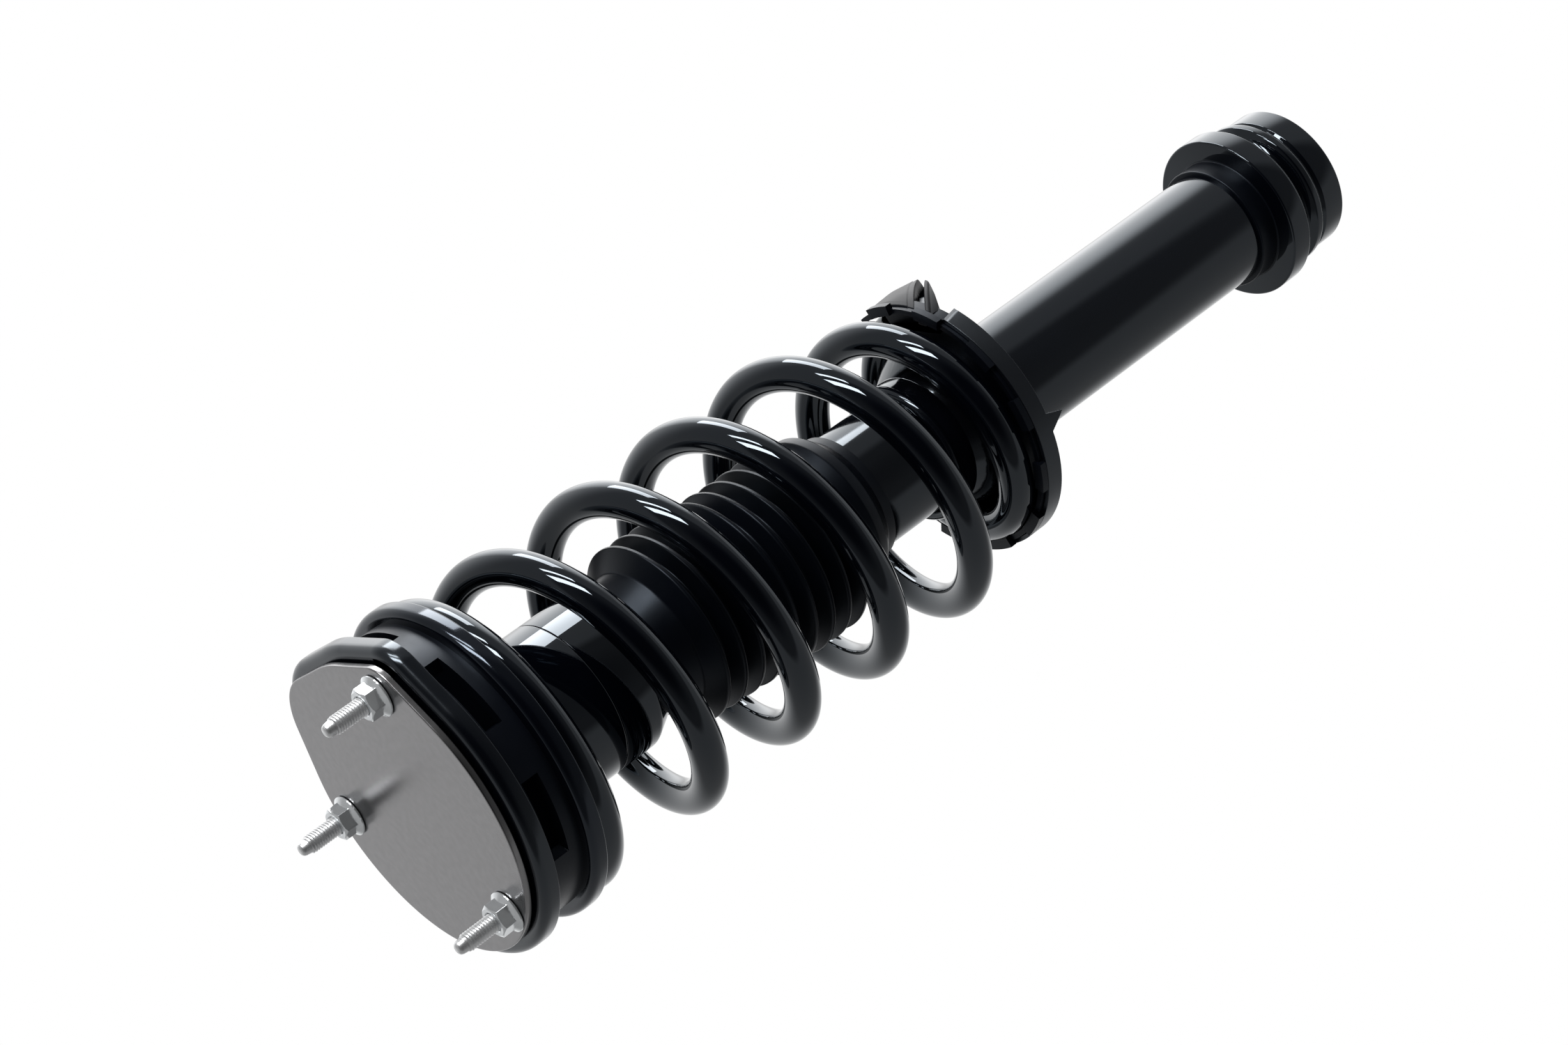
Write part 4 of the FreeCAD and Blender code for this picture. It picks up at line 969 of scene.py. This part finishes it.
# %% The studio
STUDIO_MIDDLE = Vector((0.0, 0.0, -0.22))
LAMP_DISTANCE = 1.5
LAMPS = {  # from and to, each an azimuth and an elevation, then width in metres and brightness
    "front_strip_upper": ((-62, 38), (-28, 60), 0.12, 14),
    "front_strip_lower": ((-54, 22), (-14, 48), 0.22, 14),
    "back_panel": ((-148, 66), (-106, 62), 0.75, 7),
}
view = camera.matrix_world.to_3x3()


def toward(azimuth, elevation):
    """Direction in the photograph's own terms: azimuth 0 is to the camera, 90 to the picture's right."""
    azimuth, elevation = np.radians(azimuth), np.radians(elevation)
    level = np.cos(elevation)
    return view @ Vector((level * np.sin(azimuth), np.sin(elevation), level * np.cos(azimuth)))


def strip(name, first, last, width, radiance):
    """Rectangular lamp whose middle line runs between two directions, each an azimuth and elevation.

    A lamp's power is pi x area x radiance, so lamps of any size can be set by how bright they look.
    """
    start = STUDIO_MIDDLE + toward(*first) * LAMP_DISTANCE
    end = STUDIO_MIDDLE + toward(*last) * LAMP_DISTANCE
    data = bpy.data.lights.new(name, "AREA")
    data.shape = "RECTANGLE"
    data.size = (end - start).length
    data.size_y = width
    data.energy = np.pi * data.size * width * radiance
    lamp = bpy.data.objects.new(name, data)
    bpy.context.scene.collection.objects.link(lamp)
    place = (start + end) / 2
    forward = (STUDIO_MIDDLE - place).normalized()
    side = (end - start).normalized()
    side = (side - forward * side.dot(forward)).normalized()
    turn = Matrix((side, (-forward).cross(side), -forward)).transposed()
    lamp.matrix_world = Matrix.Translation(place) @ turn.to_4x4()
    lamp.visible_camera = False
    print(name, "watts", round(data.energy, 1))


for name, settings in LAMPS.items():
    strip(name, *settings)

# %% The studio's walls
DIFFUSE_LEVEL = 0.35
WALLS = [  # azimuth and elevation, from and to which cosine, brightness before and after
    ((10, 2), 0.30, 0.46, 0.18, 0.0),  # walls that end sharply towards the camera
    ((10, 2), 0.50, 0.95, 0.08, 0.0),  # and dimmer ones that end softly
    ((-168, 14), 0.25, 0.97, 0.005, 0.75),  # paper behind the strut
    ((-170, 46), 0.80, 0.98, 0.0, 1.5),  # bright patch above the paper
]
world = bpy.data.worlds.new("studio")
bpy.context.scene.world = world
world.use_nodes = True
room = world.node_tree.nodes["Background"]
room.inputs["Color"].default_value = (1, 1, 1, 1)


def world_node(kind, **settings):
    """Adds a node to the world and sets its plain settings."""
    node = world.node_tree.nodes.new(kind)
    for key, value in settings.items():
        setattr(node, key, value)
    return node


def wire(start, end):
    """Links two sockets of the world."""
    world.node_tree.links.new(start, end)


def facing(direction, low, high, before, after):
    """Brightness from before to after, as the cosine to a fixed direction goes from low to high."""
    place = world_node("ShaderNodeTexCoord")
    dot = world_node("ShaderNodeVectorMath", operation="DOT_PRODUCT")
    dot.inputs[1].default_value = direction
    ramp = world_node("ShaderNodeMapRange", interpolation_type="SMOOTHSTEP")
    for socket, value in (("From Min", low), ("From Max", high), ("To Min", before), ("To Max", after)):
        ramp.inputs[socket].default_value = value
    wire(place.outputs["Generated"], dot.inputs[0])
    wire(dot.outputs["Value"], ramp.inputs["Value"])
    return ramp.outputs["Result"]


studio, *others = [facing(toward(*place), *settings) for place, *settings in WALLS]
for other in others:
    total = world_node("ShaderNodeMath", operation="ADD")
    wire(studio, total.inputs[0])
    wire(other, total.inputs[1])
    studio = total.outputs["Value"]

# Mirrored, the walls are seen as they are. Matt surfaces get one even level, and the camera sees white.
path = world_node("ShaderNodeLightPath")
mirrored = world_node("ShaderNodeMath", operation="MAXIMUM")
wire(path.outputs["Is Glossy Ray"], mirrored.inputs[0])
wire(path.outputs["Is Transmission Ray"], mirrored.inputs[1])


def chosen(factor, plain, special):
    """The plain value where the factor is 0 and the special one where it is 1; numbers or sockets."""
    mix = world_node("ShaderNodeMix", data_type="FLOAT")
    wire(factor, mix.inputs["Factor"])
    for name, value in (("A", plain), ("B", special)):
        if isinstance(value, float):
            mix.inputs[name].default_value = value
        else:
            wire(value, mix.inputs[name])
    return mix.outputs["Result"]


seen = chosen(mirrored.outputs["Value"], DIFFUSE_LEVEL, studio)
wire(chosen(path.outputs["Is Camera Ray"], seen, 1.0), room.inputs["Strength"])

# %% [markdown]
# The floor is a round sheet of pale paper far below, since the photograph shows the strut hanging free with
# no shadow near it. Seen straight it is white, as the background is; its own light falls on nothing.

# %% The floor
FLOOR_DEPTH = 1600.0
FLOOR_R = 800.0
FLOOR_THICK = 10.0
FLOOR_WHITE = 0.9
floor_material, floor_shader = new_material("floor_paper")
paper_tone = tint(floor_material, noise(floor_material, 6), (0.80, 0.80, 0.80), (0.84, 0.84, 0.84))
join(floor_material, paper_tone, floor_shader.inputs["Base Color"])
floor_shader.inputs["Roughness"].default_value = 0.9
floor_shader.inputs["Emission Color"].default_value = (1, 1, 1, 1)
floor_path = add(floor_material, "ShaderNodeLightPath")
join(floor_material, spread(floor_material, floor_path.outputs["Is Camera Ray"], 0.0, FLOOR_WHITE),
     floor_shader.inputs["Emission Strength"])
floor_edge = np.array([[FLOOR_R, FLOOR_DEPTH], [FLOOR_R, FLOOR_DEPTH + FLOOR_THICK]])
floor = skin("floor", lathe(floor_edge, 96))
floor.data.materials.append(floor_material)

bpy.context.scene.view_settings.view_transform = "Standard"
